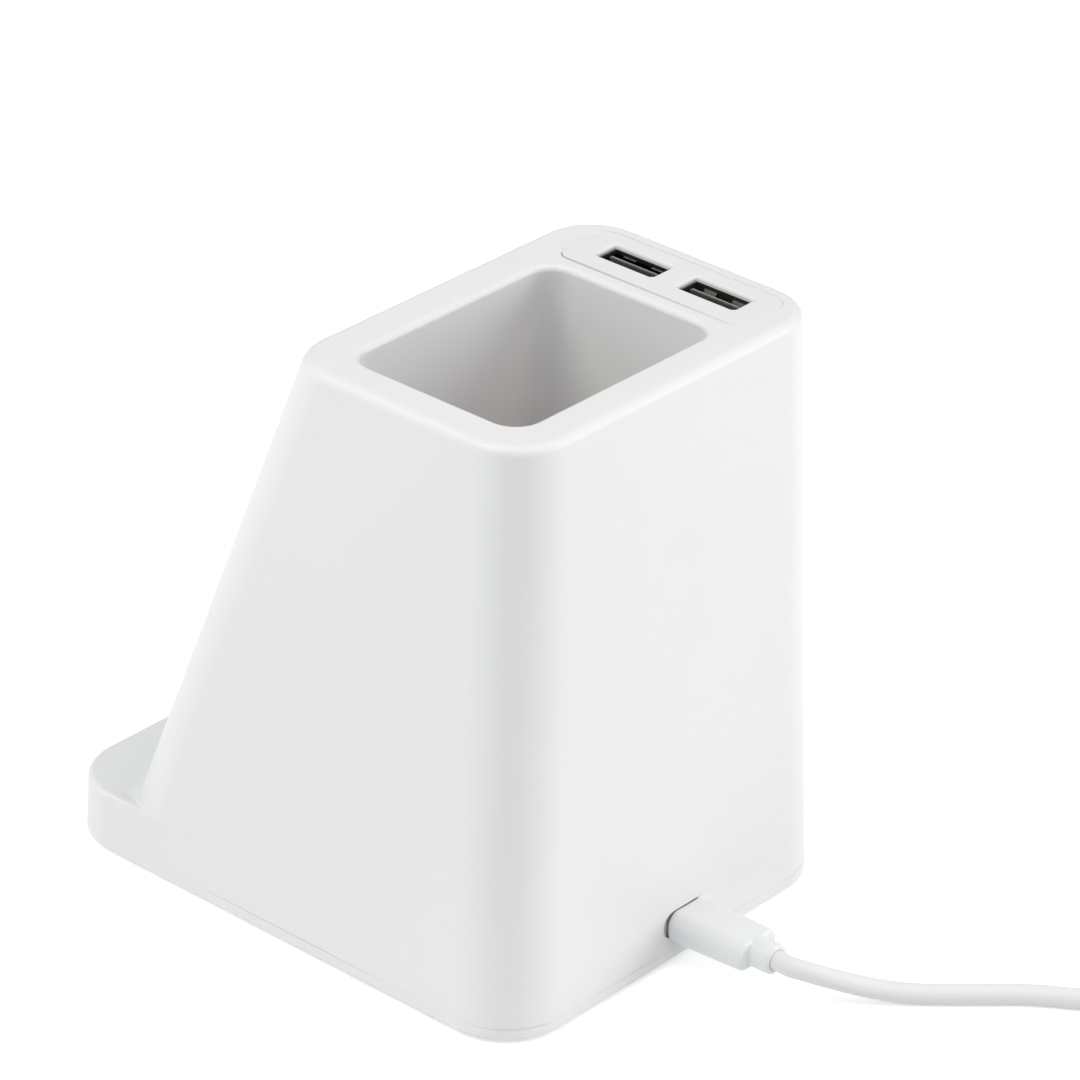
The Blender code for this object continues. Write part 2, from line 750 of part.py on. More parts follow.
def cavity():
    """The space inside the housing, less the cup and the bosses that stand in it."""
    low = HOUSING_Z - OVERRUN
    slope_wall = WALL / math.sin(SLOPE_ANGLE)
    upper = loft([inner_ring(z, WALL, slope_y(z) + slope_wall) for z in (low, CAVITY_TOP)])
    space = as_cutter("cavity", mesh_from("cavity", upper))
    front = []
    for z in (low, LEDGE_UNDERSIDE):
        ring_front = front_y(z) + LEDGE_WALL
        ring_rear = slope_y(z) + 3 * BASE_CORNER_RADIUS
        centre = (0, (ring_front + ring_rear) / 2)
        width = 2 * (half_width(z) - LEDGE_WALL)
        radius = corner_radius(z) - LEDGE_WALL
        front.append(rounded_ring(centre, width, ring_rear - ring_front, radius, z))
    join(space, as_cutter("ledge_cavity", mesh_from("ledge_cavity", loft(front))))
    block = [cup_ring(z, CUP_WALL, CUP_WALL) for z in (CUP_FLOOR_Z - CUP_WALL, CAVITY_TOP + OVERRUN)]
    cut(space, as_cutter("cup_block", mesh_from("cup_block", loft(block))))
    for i, (x, y) in enumerate(boss_places()):
        boss = cylinder(x, y, BOSS_RADIUS, BOSS_BOTTOM, BOSS_TOP)
        wall_x = math.copysign(half_width(BOSS_BOTTOM) - WALL / 2, x)
        rib_middle = Vector(((x + wall_x) / 2, y, (BOSS_BOTTOM + BOSS_TOP) / 2))
        rib_size = (abs(wall_x - x), RIB_WIDTH, BOSS_TOP - BOSS_BOTTOM)
        boss_shape = as_cutter(f"boss_{i + 1}", mesh_from("boss", boss))
        join(boss_shape, as_cutter(f"rib_{i + 1}", mesh_from("rib", box(rib_middle, rib_size))))
        cut(space, boss_shape)
    bosses = []
    for x, y in carrier_boss_places():
        matrix = slope_matrix(x, y)
        bosses.append(cylinder_at(matrix, CARRIER_BOSS_RADIUS, -CARRIER_STACK, -WALL / 2))
    cut(space, as_cutter("carrier_bosses", mesh_from("carrier_bosses", together(*bosses))))
    return space


def panel_seat():
    """The recess that the USB-A panel drops into, and the hole under it."""
    centre = (PANEL_X, PANEL_Y)
    seat = rounded_block(
        centre,
        PANEL_WIDTH + 2 * GAP,
        PANEL_LENGTH + 2 * GAP,
        PANEL_CORNER_RADIUS + GAP,
        PANEL_UNDERSIDE - GAP,
        HEIGHT + OVERRUN,
    )
    hole = rounded_block(
        centre,
        PANEL_WIDTH - 2 * SHELF_WIDTH,
        PANEL_LENGTH - 2 * SHELF_WIDTH,
        PANEL_CORNER_RADIUS - SHELF_WIDTH,
        CAVITY_TOP - OVERRUN,
        HEIGHT,
    )
    return (
        as_cutter("panel_seat", mesh_from("panel_seat", seat)),
        as_cutter("panel_hole", mesh_from("panel_hole", hole)),
    )


def port_opening():
    """The opening in the rear wall that the USB-C receptacle stands in."""
    length = WALL + REAR_LEAN + 2 * OVERRUN
    hole = rounded_block((0, 0), OPENING_WIDTH, OPENING_HEIGHT, OPENING_RADIUS, -length / 2, length / 2)
    middle = Vector((OPENING_X, rear_y(OPENING_Z) - WALL / 2, OPENING_Z))
    matrix = Matrix.Translation(middle) @ Matrix.Rotation(math.pi / 2, 4, "X")
    bmesh.ops.transform(hole, matrix=matrix, verts=hole.verts)
    return as_cutter("port_opening", mesh_from("port_opening", hole))


def pilot_holes():
    holes = [cylinder(x, y, SCREW_HOLE_RADIUS, BOSS_BOTTOM - OVERRUN, BOSS_TOP - OVERRUN) for x, y in boss_places()]
    for x, y in carrier_boss_places():
        holes.append(cylinder_at(slope_matrix(x, y), SMALL_HOLE_RADIUS, -CARRIER_STACK - OVERRUN, -WALL - GAP))
    return as_cutter("pilot_holes", mesh_from("pilot_holes", together(*holes)))


def housing():
    """The one-piece moulding: walls, top, sloped rest, ledge and pen cup."""
    made = place("housing", mesh_from("housing", housing_skin()), white_plastic)
    mirror = made.modifiers.new("other_side", "MIRROR")
    mirror.merge_threshold = MERGE
    cut(made, cavity(), cup_space(), *panel_seat(), port_opening(), pilot_holes())
    smooth(made)


def cover_ring(z, inset, steps=SMALL_ARC_STEPS):
    front = front_y(z) + inset
    rear = rear_y(z) - inset
    width = 2 * (half_width(z) - inset)
    centre = (0, (front + rear) / 2)
    return rounded_ring(centre, width, rear - front, corner_radius(z) - inset, z, steps)


def board_post_places():
    x = BOARD_WIDTH / 2 - BOARD_POST_INSET
    y = BOARD_LENGTH / 2 - BOARD_POST_INSET
    return [(PORT_X + side_x * x, BOARD_Y + side_y * y) for side_x in (-1, 1) for side_y in (-1, 1)]


def foot_places():
    return [(x, y) for x in (-FOOT_X, FOOT_X) for y in (-FOOT_Y, FOOT_Y)]


def base_cover():
    """The floor: a shallow tray with a locating lip, screw pads and posts for the main board."""
    rings = []
    for i in range(EDGE_STEPS + 1):
        turn = between(1, 0, i / EDGE_STEPS) * math.pi / 2
        rise = COVER_EDGE_RADIUS * (1 - math.sin(turn))
        rings.append(cover_ring(BASE_Z + rise, COVER_EDGE_RADIUS * (1 - math.cos(turn)), ARC_STEPS))
    rings.append(cover_ring(SEAM_HEIGHT, 0, ARC_STEPS))
    made = place("base_cover", mesh_from("base_cover", loft(rings)), white_plastic)
    lip_inset = LEDGE_WALL + GAP
    lip_top = SEAM_HEIGHT + LIP_HEIGHT
    sunk = SEAM_HEIGHT - FOOT_STAND
    lip = loft([cover_ring(z, lip_inset) for z in (sunk, lip_top)])
    lip_shape = as_cutter("lip", mesh_from("lip", lip))
    hollow = loft([cover_ring(z, lip_inset + LIP_WIDTH) for z in (BASE_Z, lip_top + OVERRUN)])
    cut(lip_shape, as_cutter("lip_hollow", mesh_from("lip_hollow", hollow)))
    gate_middle = (OPENING_X, rear_y(SEAM_HEIGHT) - lip_inset, lip_top)
    gate_size = (OPENING_WIDTH + 2 * OVERRUN, 2 * lip_inset, 2 * LIP_HEIGHT)
    gate = as_cutter("lip_gate", mesh_from("lip_gate", box(gate_middle, gate_size)))
    cut(lip_shape, gate)
    join(made, lip_shape)
    for i, (x, y) in enumerate(boss_places()):
        pad = cylinder(x, y, BOSS_RADIUS, sunk, PAD_TOP)
        join(made, as_cutter(f"pad_{i + 1}", mesh_from("pad", pad)))
    posts = [cylinder(x, y, BOARD_POST_RADIUS, sunk, BOARD_Z - GAP) for x, y in board_post_places()]
    join(made, as_cutter("board_posts", mesh_from("board_posts", together(*posts))))
    screw_holes = []
    for x, y in boss_places():
        screw_holes.append(cylinder(x, y, SCREW_HOLE_RADIUS, BASE_Z - OVERRUN, PAD_TOP + OVERRUN))
    cut(made, as_cutter("cover_holes", mesh_from("cover_holes", together(*screw_holes))))
    head_top = BASE_Z + HEAD_SINK + HEAD_HEIGHT + GAP
    wells = [cylinder(x, y, HEAD_RADIUS + GAP, BASE_Z - OVERRUN, head_top) for x, y in boss_places()]
    foot_top = BASE_Z + FOOT_SINK + GAP
    for x, y in foot_places():
        wells.append(cylinder(x, y, FOOT_RADIUS + GAP, BASE_Z - OVERRUN, foot_top, ROUND_STEPS))
    for x, y in board_post_places():
        wells.append(cylinder(x, y, SMALL_HOLE_RADIUS, SEAM_HEIGHT, BOARD_Z + OVERRUN))
    cut(made, as_cutter("cover_wells", mesh_from("cover_wells", together(*wells))))
    smooth(made)


def screw_profile(radius, length, head_radius, head_height):
    """A pan-head screw, head up, its shoulder at the origin."""
    return [
        (0, head_height - DRIVE_DEPTH),
        (DRIVE_RADIUS, head_height - DRIVE_DEPTH),
        (DRIVE_RADIUS, head_height),
        (head_radius - head_height / 3, head_height),
        (head_radius, head_height / 2),
        (head_radius, 0),
        (radius, 0),
        (radius, radius - length),
        (0, -length),
    ]


def cover_screws():
    profile = screw_profile(SCREW_RADIUS, SCREW_LENGTH, HEAD_RADIUS, HEAD_HEIGHT)
    for i, (x, y) in enumerate(boss_places()):
        made = turned(f"cover_screw_{i + 1}", profile, steel, SCREW_STEPS)
        made.location = (x, y, BASE_Z + HEAD_SINK + HEAD_HEIGHT)
        made.rotation_euler = (math.pi, 0, 0)


def feet():
    top = BASE_Z + FOOT_SINK
    profile = [
        (0, top),
        (FOOT_RADIUS, top),
        (FOOT_RADIUS, FOOT_EDGE_RADIUS),
        (FOOT_RADIUS - FOOT_EDGE_RADIUS, 0),
        (0, 0),
    ]
    for i, (x, y) in enumerate(foot_places()):
        made = turned(f"foot_{i + 1}", profile, foot_rubber)
        made.location = (x, y, 0)


def slot_ys():
    return (PANEL_Y - SLOT_PITCH / 2, PANEL_Y + SLOT_PITCH / 2)


def post_ys():
    return (PANEL_Y - POST_Y, PANEL_Y + POST_Y)


def usb_panel():
    """The plate round the two USB-A slots, with its snap hooks and the posts that carry the sockets' board."""
    plate = rounded_block(
        (PANEL_X, PANEL_Y),
        PANEL_WIDTH,
        PANEL_LENGTH,
        PANEL_CORNER_RADIUS,
        PANEL_UNDERSIDE,
        HEIGHT,
        edge_radius=PANEL_EDGE_RADIUS,
    )
    made = place("usb_panel", mesh_from("usb_panel", plate), panel_plastic)
    sunk = PANEL_UNDERSIDE + PANEL_THICKNESS / 2
    post_bottom = SOCKET_BOARD_TOP + GAP
    posts = [cylinder(SLOT_X, y, POST_RADIUS, post_bottom, sunk) for y in post_ys()]
    join(made, as_cutter("panel_posts", mesh_from("panel_posts", together(*posts))))
    barb_top = CAVITY_TOP - GAP
    hook_bottom = barb_top - HOOK_HEIGHT
    hook_out = PANEL_WIDTH / 2 - SHELF_WIDTH - GAP
    for i, side in enumerate((-1, 1)):
        stem_x = PANEL_X + side * (hook_out - HOOK_WIDTH / 2)
        stem = box((stem_x, PANEL_Y, (hook_bottom + sunk) / 2), (HOOK_WIDTH, HOOK_LENGTH, sunk - hook_bottom))
        barb_x = PANEL_X + side * (hook_out + HOOK_BARB / 2)
        barb = box(
            (barb_x, PANEL_Y, (hook_bottom + barb_top) / 2),
            (HOOK_BARB + HOOK_WIDTH, HOOK_LENGTH, HOOK_HEIGHT),
        )
        hook = as_cutter(f"hook_{i + 1}", mesh_from("hook", stem))
        join(hook, as_cutter(f"barb_{i + 1}", mesh_from("barb", barb)))
        join(made, hook)
    for i, y in enumerate(slot_ys()):
        low = rounded_ring((SLOT_X, y), SLOT_WIDTH, SLOT_LENGTH, SLOT_CHAMFER, PANEL_UNDERSIDE - OVERRUN, 1)
        neck = rounded_ring((SLOT_X, y), SLOT_WIDTH, SLOT_LENGTH, SLOT_CHAMFER, HEIGHT - SLOT_CHAMFER, 1)
        wide = 2 * (SLOT_CHAMFER + OVERRUN)
        mouth = rounded_ring(
            (SLOT_X, y), SLOT_WIDTH + wide, SLOT_LENGTH + wide, SLOT_CHAMFER + OVERRUN, HEIGHT + OVERRUN, 1
        )
        cut(made, as_cutter(f"slot_{i + 1}", mesh_from("slot", loft([low, neck, mouth]))))
    pilots = [cylinder(SLOT_X, y, SMALL_HOLE_RADIUS, post_bottom - OVERRUN, PANEL_UNDERSIDE) for y in post_ys()]
    cut(made, as_cutter("panel_pilots", mesh_from("panel_pilots", together(*pilots))))
    smooth(made)


def usb_a_sockets():
    """Two upright sockets, up in the panel's slots: a folded steel shell with a contact block and its tongue inside."""
    for i, y in enumerate(slot_ys()):
        outer = box((SLOT_X, y, (SOCKET_TOP + SOCKET_BOTTOM) / 2), (SOCKET_WIDTH, SOCKET_LENGTH, SOCKET_DEPTH))
        shell = place(f"usb_a_shell_{i + 1}", mesh_from("usb_a_shell", outer), socket_steel)
        inner_width = SOCKET_WIDTH - 2 * SOCKET_WALL
        inner_length = SOCKET_LENGTH - 2 * SOCKET_WALL
        space = box((SLOT_X, y, SOCKET_TOP), (inner_width, inner_length, 2 * (SOCKET_DEPTH + OVERRUN)))
        cut(shell, as_cutter(f"socket_space_{i + 1}", mesh_from("socket_space", space)))
        block_size = (inner_width - 2 * GAP, inner_length - 2 * GAP, SOCKET_FLOOR)
        block = box((SLOT_X, y, SOCKET_BOTTOM + SOCKET_FLOOR / 2), block_size)
        contact = place(f"usb_a_tongue_{i + 1}", mesh_from("usb_a_tongue", block), contact_plastic)
        tongue_top = SOCKET_TOP - TONGUE_A_SINK
        tongue_z = (tongue_top + SOCKET_BOTTOM) / 2
        tongue = box(
            (SLOT_X + TONGUE_A_OFFSET, y, tongue_z),
            (TONGUE_A_THICKNESS, TONGUE_A_WIDTH, tongue_top - SOCKET_BOTTOM - GAP),
        )
        join(contact, as_cutter(f"tongue_{i + 1}", mesh_from("tongue", tongue)))


def usb_board():
    """The small board under the USB-A sockets, hung from the panel's two posts."""
    board = box(
        (SLOT_X, PANEL_Y, (SOCKET_BOARD_TOP + SOCKET_BOARD_Z) / 2),
        (SOCKET_BOARD_WIDTH, SOCKET_BOARD_LENGTH, SOCKET_BOARD_THICKNESS),
    )
    made = place("usb_board", mesh_from("usb_board", board), board_laminate)
    holes = []
    for y in post_ys():
        holes.append(cylinder(SLOT_X, y, SMALL_HOLE_RADIUS, SOCKET_BOARD_Z - OVERRUN, SOCKET_BOARD_TOP + OVERRUN))
    cut(made, as_cutter("usb_board_holes", mesh_from("usb_board_holes", together(*holes))))
    profile = screw_profile(SMALL_SCREW_RADIUS, SMALL_SCREW_LENGTH, SMALL_HEAD_RADIUS, SMALL_HEAD_HEIGHT)
    for i, y in enumerate(post_ys()):
        screw = turned(f"usb_board_screw_{i + 1}", profile, steel, SCREW_STEPS)
        screw.location = (SLOT_X, y, SOCKET_BOARD_Z - GAP)
        screw.rotation_euler = (math.pi, 0, 0)


def main_board():
    board = rounded_block(
        (PORT_X, BOARD_Y), BOARD_WIDTH, BOARD_LENGTH, BOARD_CORNER_RADIUS, BOARD_Z, BOARD_TOP
    )
    made = place("main_board", mesh_from("main_board", board), board_laminate)
    holes = []
    for x, y in board_post_places():
        holes.append(cylinder(x, y, SMALL_HOLE_RADIUS, BOARD_Z - OVERRUN, BOARD_TOP + OVERRUN))
    cut(made, as_cutter("main_board_holes", mesh_from("main_board_holes", together(*holes))))
    profile = screw_profile(SMALL_SCREW_RADIUS, SMALL_SCREW_LENGTH, SMALL_HEAD_RADIUS, SMALL_HEAD_HEIGHT)
    for i, (x, y) in enumerate(board_post_places()):
        screw = turned(f"board_screw_{i + 1}", profile, steel, SCREW_STEPS)
        screw.location = (x, y, BOARD_TOP + GAP)


def slot_profile(width, height, y_low, y_high):
    """A flat-sided bar with full round ends in section, lying along Y through the port's axis."""
    work = rounded_block((0, 0), width, height, height / 2 - MERGE, 0, y_high - y_low)
    matrix = Matrix.Translation((PORT_X, y_high, PORT_Z)) @ Matrix.Rotation(math.pi / 2, 4, "X")
    bmesh.ops.transform(work, matrix=matrix, verts=work.verts)
    return work


def usb_c_port():
    """The receptacle under the main board: a seamless steel shell round a thin tongue."""
    back = PORT_Y - RECEPTACLE_LENGTH
    outer = slot_profile(RECEPTACLE_WIDTH, RECEPTACLE_HEIGHT, back, PORT_Y)
    shell = place("usb_c_shell", mesh_from("usb_c_shell", outer), socket_steel)
    inner_width = RECEPTACLE_WIDTH - 2 * RECEPTACLE_WALL
    inner_height = RECEPTACLE_HEIGHT - 2 * RECEPTACLE_WALL
    space = slot_profile(inner_width, inner_height, back - OVERRUN, PORT_Y + OVERRUN)
    cut(shell, as_cutter("receptacle_space", mesh_from("receptacle_space", space)))
    smooth(shell)
    block_end = back + TONGUE_C_BLOCK
    block = slot_profile(inner_width - 2 * GAP, inner_height - 2 * GAP, back, block_end)
    contact = place("usb_c_tongue", mesh_from("usb_c_tongue", block), contact_plastic)
    tongue_middle = (PORT_X, block_end + TONGUE_C_LENGTH / 2 - GAP, PORT_Z)
    tongue = box(tongue_middle, (TONGUE_C_WIDTH, TONGUE_C_LENGTH + 2 * GAP, TONGUE_C_THICKNESS))
    join(contact, as_cutter("port_tongue", mesh_from("port_tongue", tongue)))


def bevelled_box(name, centre, size, bevel, coat):
    made = place(name, mesh_from(name, box(centre, size)), coat)
    edge = made.modifiers.new("edge", "BEVEL")
    edge.width = bevel
    edge.segments = 2
    return made


def on_board(place_shares, z):
    """A place on the main board, as shares of its width and length from its middle."""
    return (PORT_X + place_shares[0] * BOARD_WIDTH, BOARD_Y + place_shares[1] * BOARD_LENGTH, z)


def board_parts():
    """The larger parts soldered on the main board."""
    seat = BOARD_TOP + GAP
    chip_bevel = CHIP_HEIGHT / 5
    chip_z = seat + CHIP_HEIGHT / 2
    controller_at = on_board(CONTROLLER_PLACE_SHARES, chip_z)
    bevelled_box("controller_chip", controller_at, (CHIP_SIDE, CHIP_SIDE, CHIP_HEIGHT), chip_bevel, chip_black)
    driver_at = on_board(DRIVER_PLACE_SHARES, chip_z)
    bevelled_box("driver_chip", driver_at, (DRIVER_SIDE, DRIVER_SIDE, CHIP_HEIGHT), chip_bevel, chip_black)
    inductor_at = on_board(INDUCTOR_PLACE_SHARES, seat + INDUCTOR_HEIGHT / 2)
    inductor_size = (INDUCTOR_SIDE, INDUCTOR_SIDE, INDUCTOR_HEIGHT)
    bevelled_box("power_inductor", inductor_at, inductor_size, INDUCTOR_BEVEL, inductor_grey)
    groove_low = CAPACITOR_GROOVE_Z - CAPACITOR_GROOVE
    groove_high = CAPACITOR_GROOVE_Z + CAPACITOR_GROOVE
    profile = [
        (0, CAPACITOR_HEIGHT),
        (CAPACITOR_RADIUS - CAPACITOR_GROOVE, CAPACITOR_HEIGHT),
        (CAPACITOR_RADIUS, CAPACITOR_HEIGHT - CAPACITOR_GROOVE),
        (CAPACITOR_RADIUS, groove_high),
        (CAPACITOR_RADIUS - CAPACITOR_GROOVE, CAPACITOR_GROOVE_Z),
        (CAPACITOR_RADIUS, groove_low),
        (CAPACITOR_RADIUS, 0),
        (0, 0),
    ]
    for i, place_shares in enumerate(CAPACITOR_PLACE_SHARES):
        made = turned(f"capacitor_{i + 1}", profile, capacitor_sleeve)
        made.location = on_board(place_shares, seat)


def coil_assembly():
    """Coil, ferrite sheet and carrier, stacked against the inside of the slope."""
    holder = bpy.data.objects.new("slope_place", None)
    PARTS.objects.link(holder)
    holder.matrix_world = slope_matrix()
    coil_top = -WALL - GAP
    coil_low = coil_top - COIL_THICKNESS
    edge = COIL_EDGE_RADIUS
    profile = [
        (COIL_INNER_RADIUS, coil_top - edge),
        (COIL_INNER_RADIUS + edge, coil_top),
        (COIL_OUTER_RADIUS - edge, coil_top),
        (COIL_OUTER_RADIUS, coil_top - edge),
        (COIL_OUTER_RADIUS, coil_low + edge),
        (COIL_OUTER_RADIUS - edge, coil_low),
        (COIL_INNER_RADIUS + edge, coil_low),
        (COIL_INNER_RADIUS, coil_low + edge),
        (COIL_INNER_RADIUS, coil_top - edge),
    ]
    coil = turned("charging_coil", profile, copper, COIL_STEPS)
    coil.parent = holder
    sheet_top = coil_low - GAP
    sheet_low = sheet_top - FERRITE_THICKNESS
    sheet = rounded_block((0, 0), FERRITE_SIDE, FERRITE_SIDE, FERRITE_CORNER_RADIUS, sheet_low, sheet_top)
    sheet_part = place("ferrite_sheet", mesh_from("ferrite_sheet", sheet), ferrite)
    sheet_part.parent = holder
    carrier_top = sheet_low - GAP
    carrier_low = carrier_top - CARRIER_THICKNESS
    plate = rounded_block(
        (0, 0), CARRIER_WIDTH, CARRIER_LENGTH, CARRIER_CORNER_RADIUS, carrier_low, carrier_top
    )
    carrier = place("coil_carrier", mesh_from("coil_carrier", plate), carrier_plastic)
    carrier.parent = holder
    low = carrier_low - OVERRUN
    high = carrier_top + OVERRUN
    holes = [cylinder(x, y, SMALL_HOLE_RADIUS, low, high) for x, y in carrier_boss_places()]
    holes.append(cylinder(0, 0, CARRIER_WINDOW_RADIUS, low, high, ROUND_STEPS))
    openings = as_cutter("carrier_holes", mesh_from("carrier_holes", together(*holes)))
    openings.parent = holder
    cut(carrier, openings)
    profile = screw_profile(SMALL_SCREW_RADIUS, SMALL_SCREW_LENGTH, SMALL_HEAD_RADIUS, SMALL_HEAD_HEIGHT)
    for i, (x, y) in enumerate(carrier_boss_places()):
        screw = turned(f"carrier_screw_{i + 1}", profile, steel, SCREW_STEPS)
        screw.parent = holder
        screw.location = (x, y, carrier_low - GAP)
        screw.rotation_euler = (math.pi, 0, 0)


def inner_leads():
    """Wires from the coil and from the USB-A board to the main board."""
    board_end_z = BOARD_TOP + GAP
    coil_depth = -WALL - GAP - COIL_THICKNESS / 2
    for i, side in enumerate((-1, 1)):
        x = side * COIL_LEAD_X
        start = slope_matrix(x, -COIL_OUTER_RADIUS - GAP, coil_depth).translation
        past_carrier = slope_matrix(x, -CARRIER_LENGTH / 2 - CARRIER_CORNER_RADIUS, coil_depth).translation
        end = Vector((x, BOARD_Y - BOARD_LENGTH / 2 + BOARD_POST_INSET, board_end_z))
        above = end + Vector((0, 0, CARRIER_CORNER_RADIUS))
        middle = above + Vector((0, -3 * BOARD_POST_INSET, CARRIER_CORNER_RADIUS / 3))
        route = smooth_route((start, past_carrier, middle, above, end), 4 * SOCKET_LEAD_RADIUS)
        tube(f"coil_lead_{i + 1}", route, LEAD_RADIUS, 2, copper)
    for i, y in enumerate(slot_ys()):
        start = Vector((SLOT_X, y, SOCKET_BOARD_Z - GAP))
        end_x = PORT_X - BOARD_WIDTH / 2 + BOARD_POST_INSET
        end_y = BOARD_Y - BOARD_LENGTH / 4 + (i - 1 / 2) * BOARD_POST_INSET
        end = Vector((end_x, end_y, board_end_z))
        below = start - Vector((0, 0, SOCKET_DEPTH))
        beside_cup = Vector((SLOT_X, end_y, 2 * CUP_FLOOR_Z))
        below_cup = Vector((SLOT_X, end_y, CUP_FLOOR_Z))
        above = end + Vector((0, 0, CARRIER_CORNER_RADIUS))
        route = smooth_route((start, below, beside_cup, below_cup, above, end), 6 * SOCKET_LEAD_RADIUS)
        tube(f"usb_lead_{i + 1}", route, SOCKET_LEAD_RADIUS, 2, lead_insulation)


def lay_along_y(work, x, y, z):
    """Turns a shape made upright so that its top points along +Y, and moves its foot to the place."""
    matrix = Matrix.Translation((x, y, z)) @ Matrix.Rotation(-math.pi / 2, 4, "X")
    bmesh.ops.transform(work, matrix=matrix, verts=work.verts)
    return work


def relief_profile():
    """The plug's strain relief: a collar, a fine neck and a ring, down to the cable."""
    collar_end = RELIEF_LENGTH
    neck_end = collar_end + RELIEF_NECK_LENGTH
    ring_end = neck_end + RELIEF_RING_LENGTH
    return [
        (0, ring_end),
        (CABLE_RADIUS + RELIEF_EDGE, ring_end),
        (RELIEF_RADIUS - RELIEF_EDGE / 2, ring_end - RELIEF_EDGE),
        (RELIEF_RADIUS - RELIEF_EDGE / 2, neck_end + RELIEF_EDGE / 2),
        (RELIEF_NECK_RADIUS, neck_end),
        (RELIEF_NECK_RADIUS, collar_end),
        (RELIEF_RADIUS - RELIEF_EDGE, collar_end),
        (RELIEF_RADIUS, collar_end - RELIEF_EDGE),
        (RELIEF_RADIUS, 0),
        (0, 0),
    ]


def usb_c_plug():
    """The plug in the port. Its axis is the line that it is pulled out along."""
    holder = bpy.data.objects.new("plug_axis", None)
    PARTS.objects.link(holder)
    holder.location = (PORT_X, PLUG_Y, PORT_Z)
    grip = rounded_block(
        (0, 0),
        PLUG_WIDTH,
        PLUG_THICKNESS,
        PLUG_CORNER_RADIUS,
        0,
        PLUG_LENGTH,
        edge_radius=PLUG_EDGE_RADIUS,
        foot_radius=PLUG_EDGE_RADIUS / 2,
    )
    body = place("usb_c_plug_grip", mesh_from("usb_c_plug_grip", lay_along_y(grip, 0, 0, 0)), plug_plastic)
    body.parent = holder
    smooth(body)
    radius = PLUG_SHELL_THICKNESS / 2 - MERGE
    outer = rounded_block((0, 0), PLUG_SHELL_WIDTH, PLUG_SHELL_THICKNESS, radius, 0, PLUG_SHELL_LENGTH)
    lay_along_y(outer, 0, -GAP - PLUG_SHELL_LENGTH, 0)
    shell = place("usb_c_plug_shell", mesh_from("usb_c_plug_shell", outer), steel)
    shell.parent = holder
    inner_width = PLUG_SHELL_WIDTH - 2 * PLUG_SHELL_WALL
    inner_height = PLUG_SHELL_THICKNESS - 2 * PLUG_SHELL_WALL
    length = PLUG_SHELL_LENGTH + 2 * OVERRUN
    space = rounded_block((0, 0), inner_width, inner_height, radius - PLUG_SHELL_WALL, 0, length)
    lay_along_y(space, 0, -GAP - PLUG_SHELL_LENGTH - OVERRUN, 0)
    hollow = as_cutter("plug_shell_space", mesh_from("plug_shell_space", space))
    hollow.parent = holder
    cut(shell, hollow)
    smooth(shell)
    relief = turned("usb_c_plug_relief", relief_profile(), plug_plastic)
    relief.parent = holder
    relief.location = (0, PLUG_LENGTH + GAP, 0)
    relief.rotation_euler = (-math.pi / 2, 0, 0)


RELIEF_END_Y = PLUG_END_Y + GAP + RELIEF_LENGTH + RELIEF_NECK_LENGTH + RELIEF_RING_LENGTH


def heading(angle):
    return Vector((math.cos(angle), math.sin(angle), 0))


def cable_coil_points():
    """The wound length: a spiral in on the table, a climb in the half turn at its middle, and a spiral out above."""
    straight = 2 * CABLE_RADIUS
    start = Vector(CABLE_ROUTE[-1])
    start.z = CABLE_RADIUS
    ahead = heading(COIL_LEAD_IN_HEADING)
    right = Vector((ahead.y, -ahead.x, 0))
    centre = start + ahead * (straight + GAP) + right * CABLE_COIL_RADIUS
    start_angle = COIL_LEAD_IN_HEADING + math.pi / 2
    end_angle = COIL_LEAD_OUT_HEADING + math.pi / 2
    sweep = start_angle - end_angle + 2 * LAP_TURNS * 2 * math.pi
    pitch = 2 * CABLE_RADIUS + LAP_GAP
    climb = 2 * CABLE_RADIUS + LAYER_GAP
    steps = round(sweep / (2 * math.pi) * LOOP_POINTS)
    points = [start + ahead * GAP]
    for i in range(steps + 1):
        turned_by = sweep * i / steps
        from_middle = turned_by - sweep / 2
        radius = CABLE_COIL_RADIUS - pitch * (sweep / 2 - abs(from_middle)) / (2 * math.pi)
        rise = min(1, max(0, from_middle / math.pi + 1 / 2))
        rise = rise * rise * (3 - 2 * rise)
        angle = start_angle - turned_by
        points.append(centre + heading(angle) * radius + Vector((0, 0, climb * rise)))
    points.append(points[-1] + heading(COIL_LEAD_OUT_HEADING) * straight)
    return points


def least_gap(points, radius):
    """The least clear gap between turns, measured between points at least half a turn apart."""
    apart = LOOP_POINTS // 2
    least = math.inf
    for i, start in enumerate(points):
        for j in range(i + apart, len(points) - 1):
            way = points[j + 1] - points[j]
            share = (start - points[j]).dot(way) / way.length_squared
            nearest = points[j] + way * min(1, max(0, share))
            least = min(least, (start - nearest).length)
    return least - 2 * radius


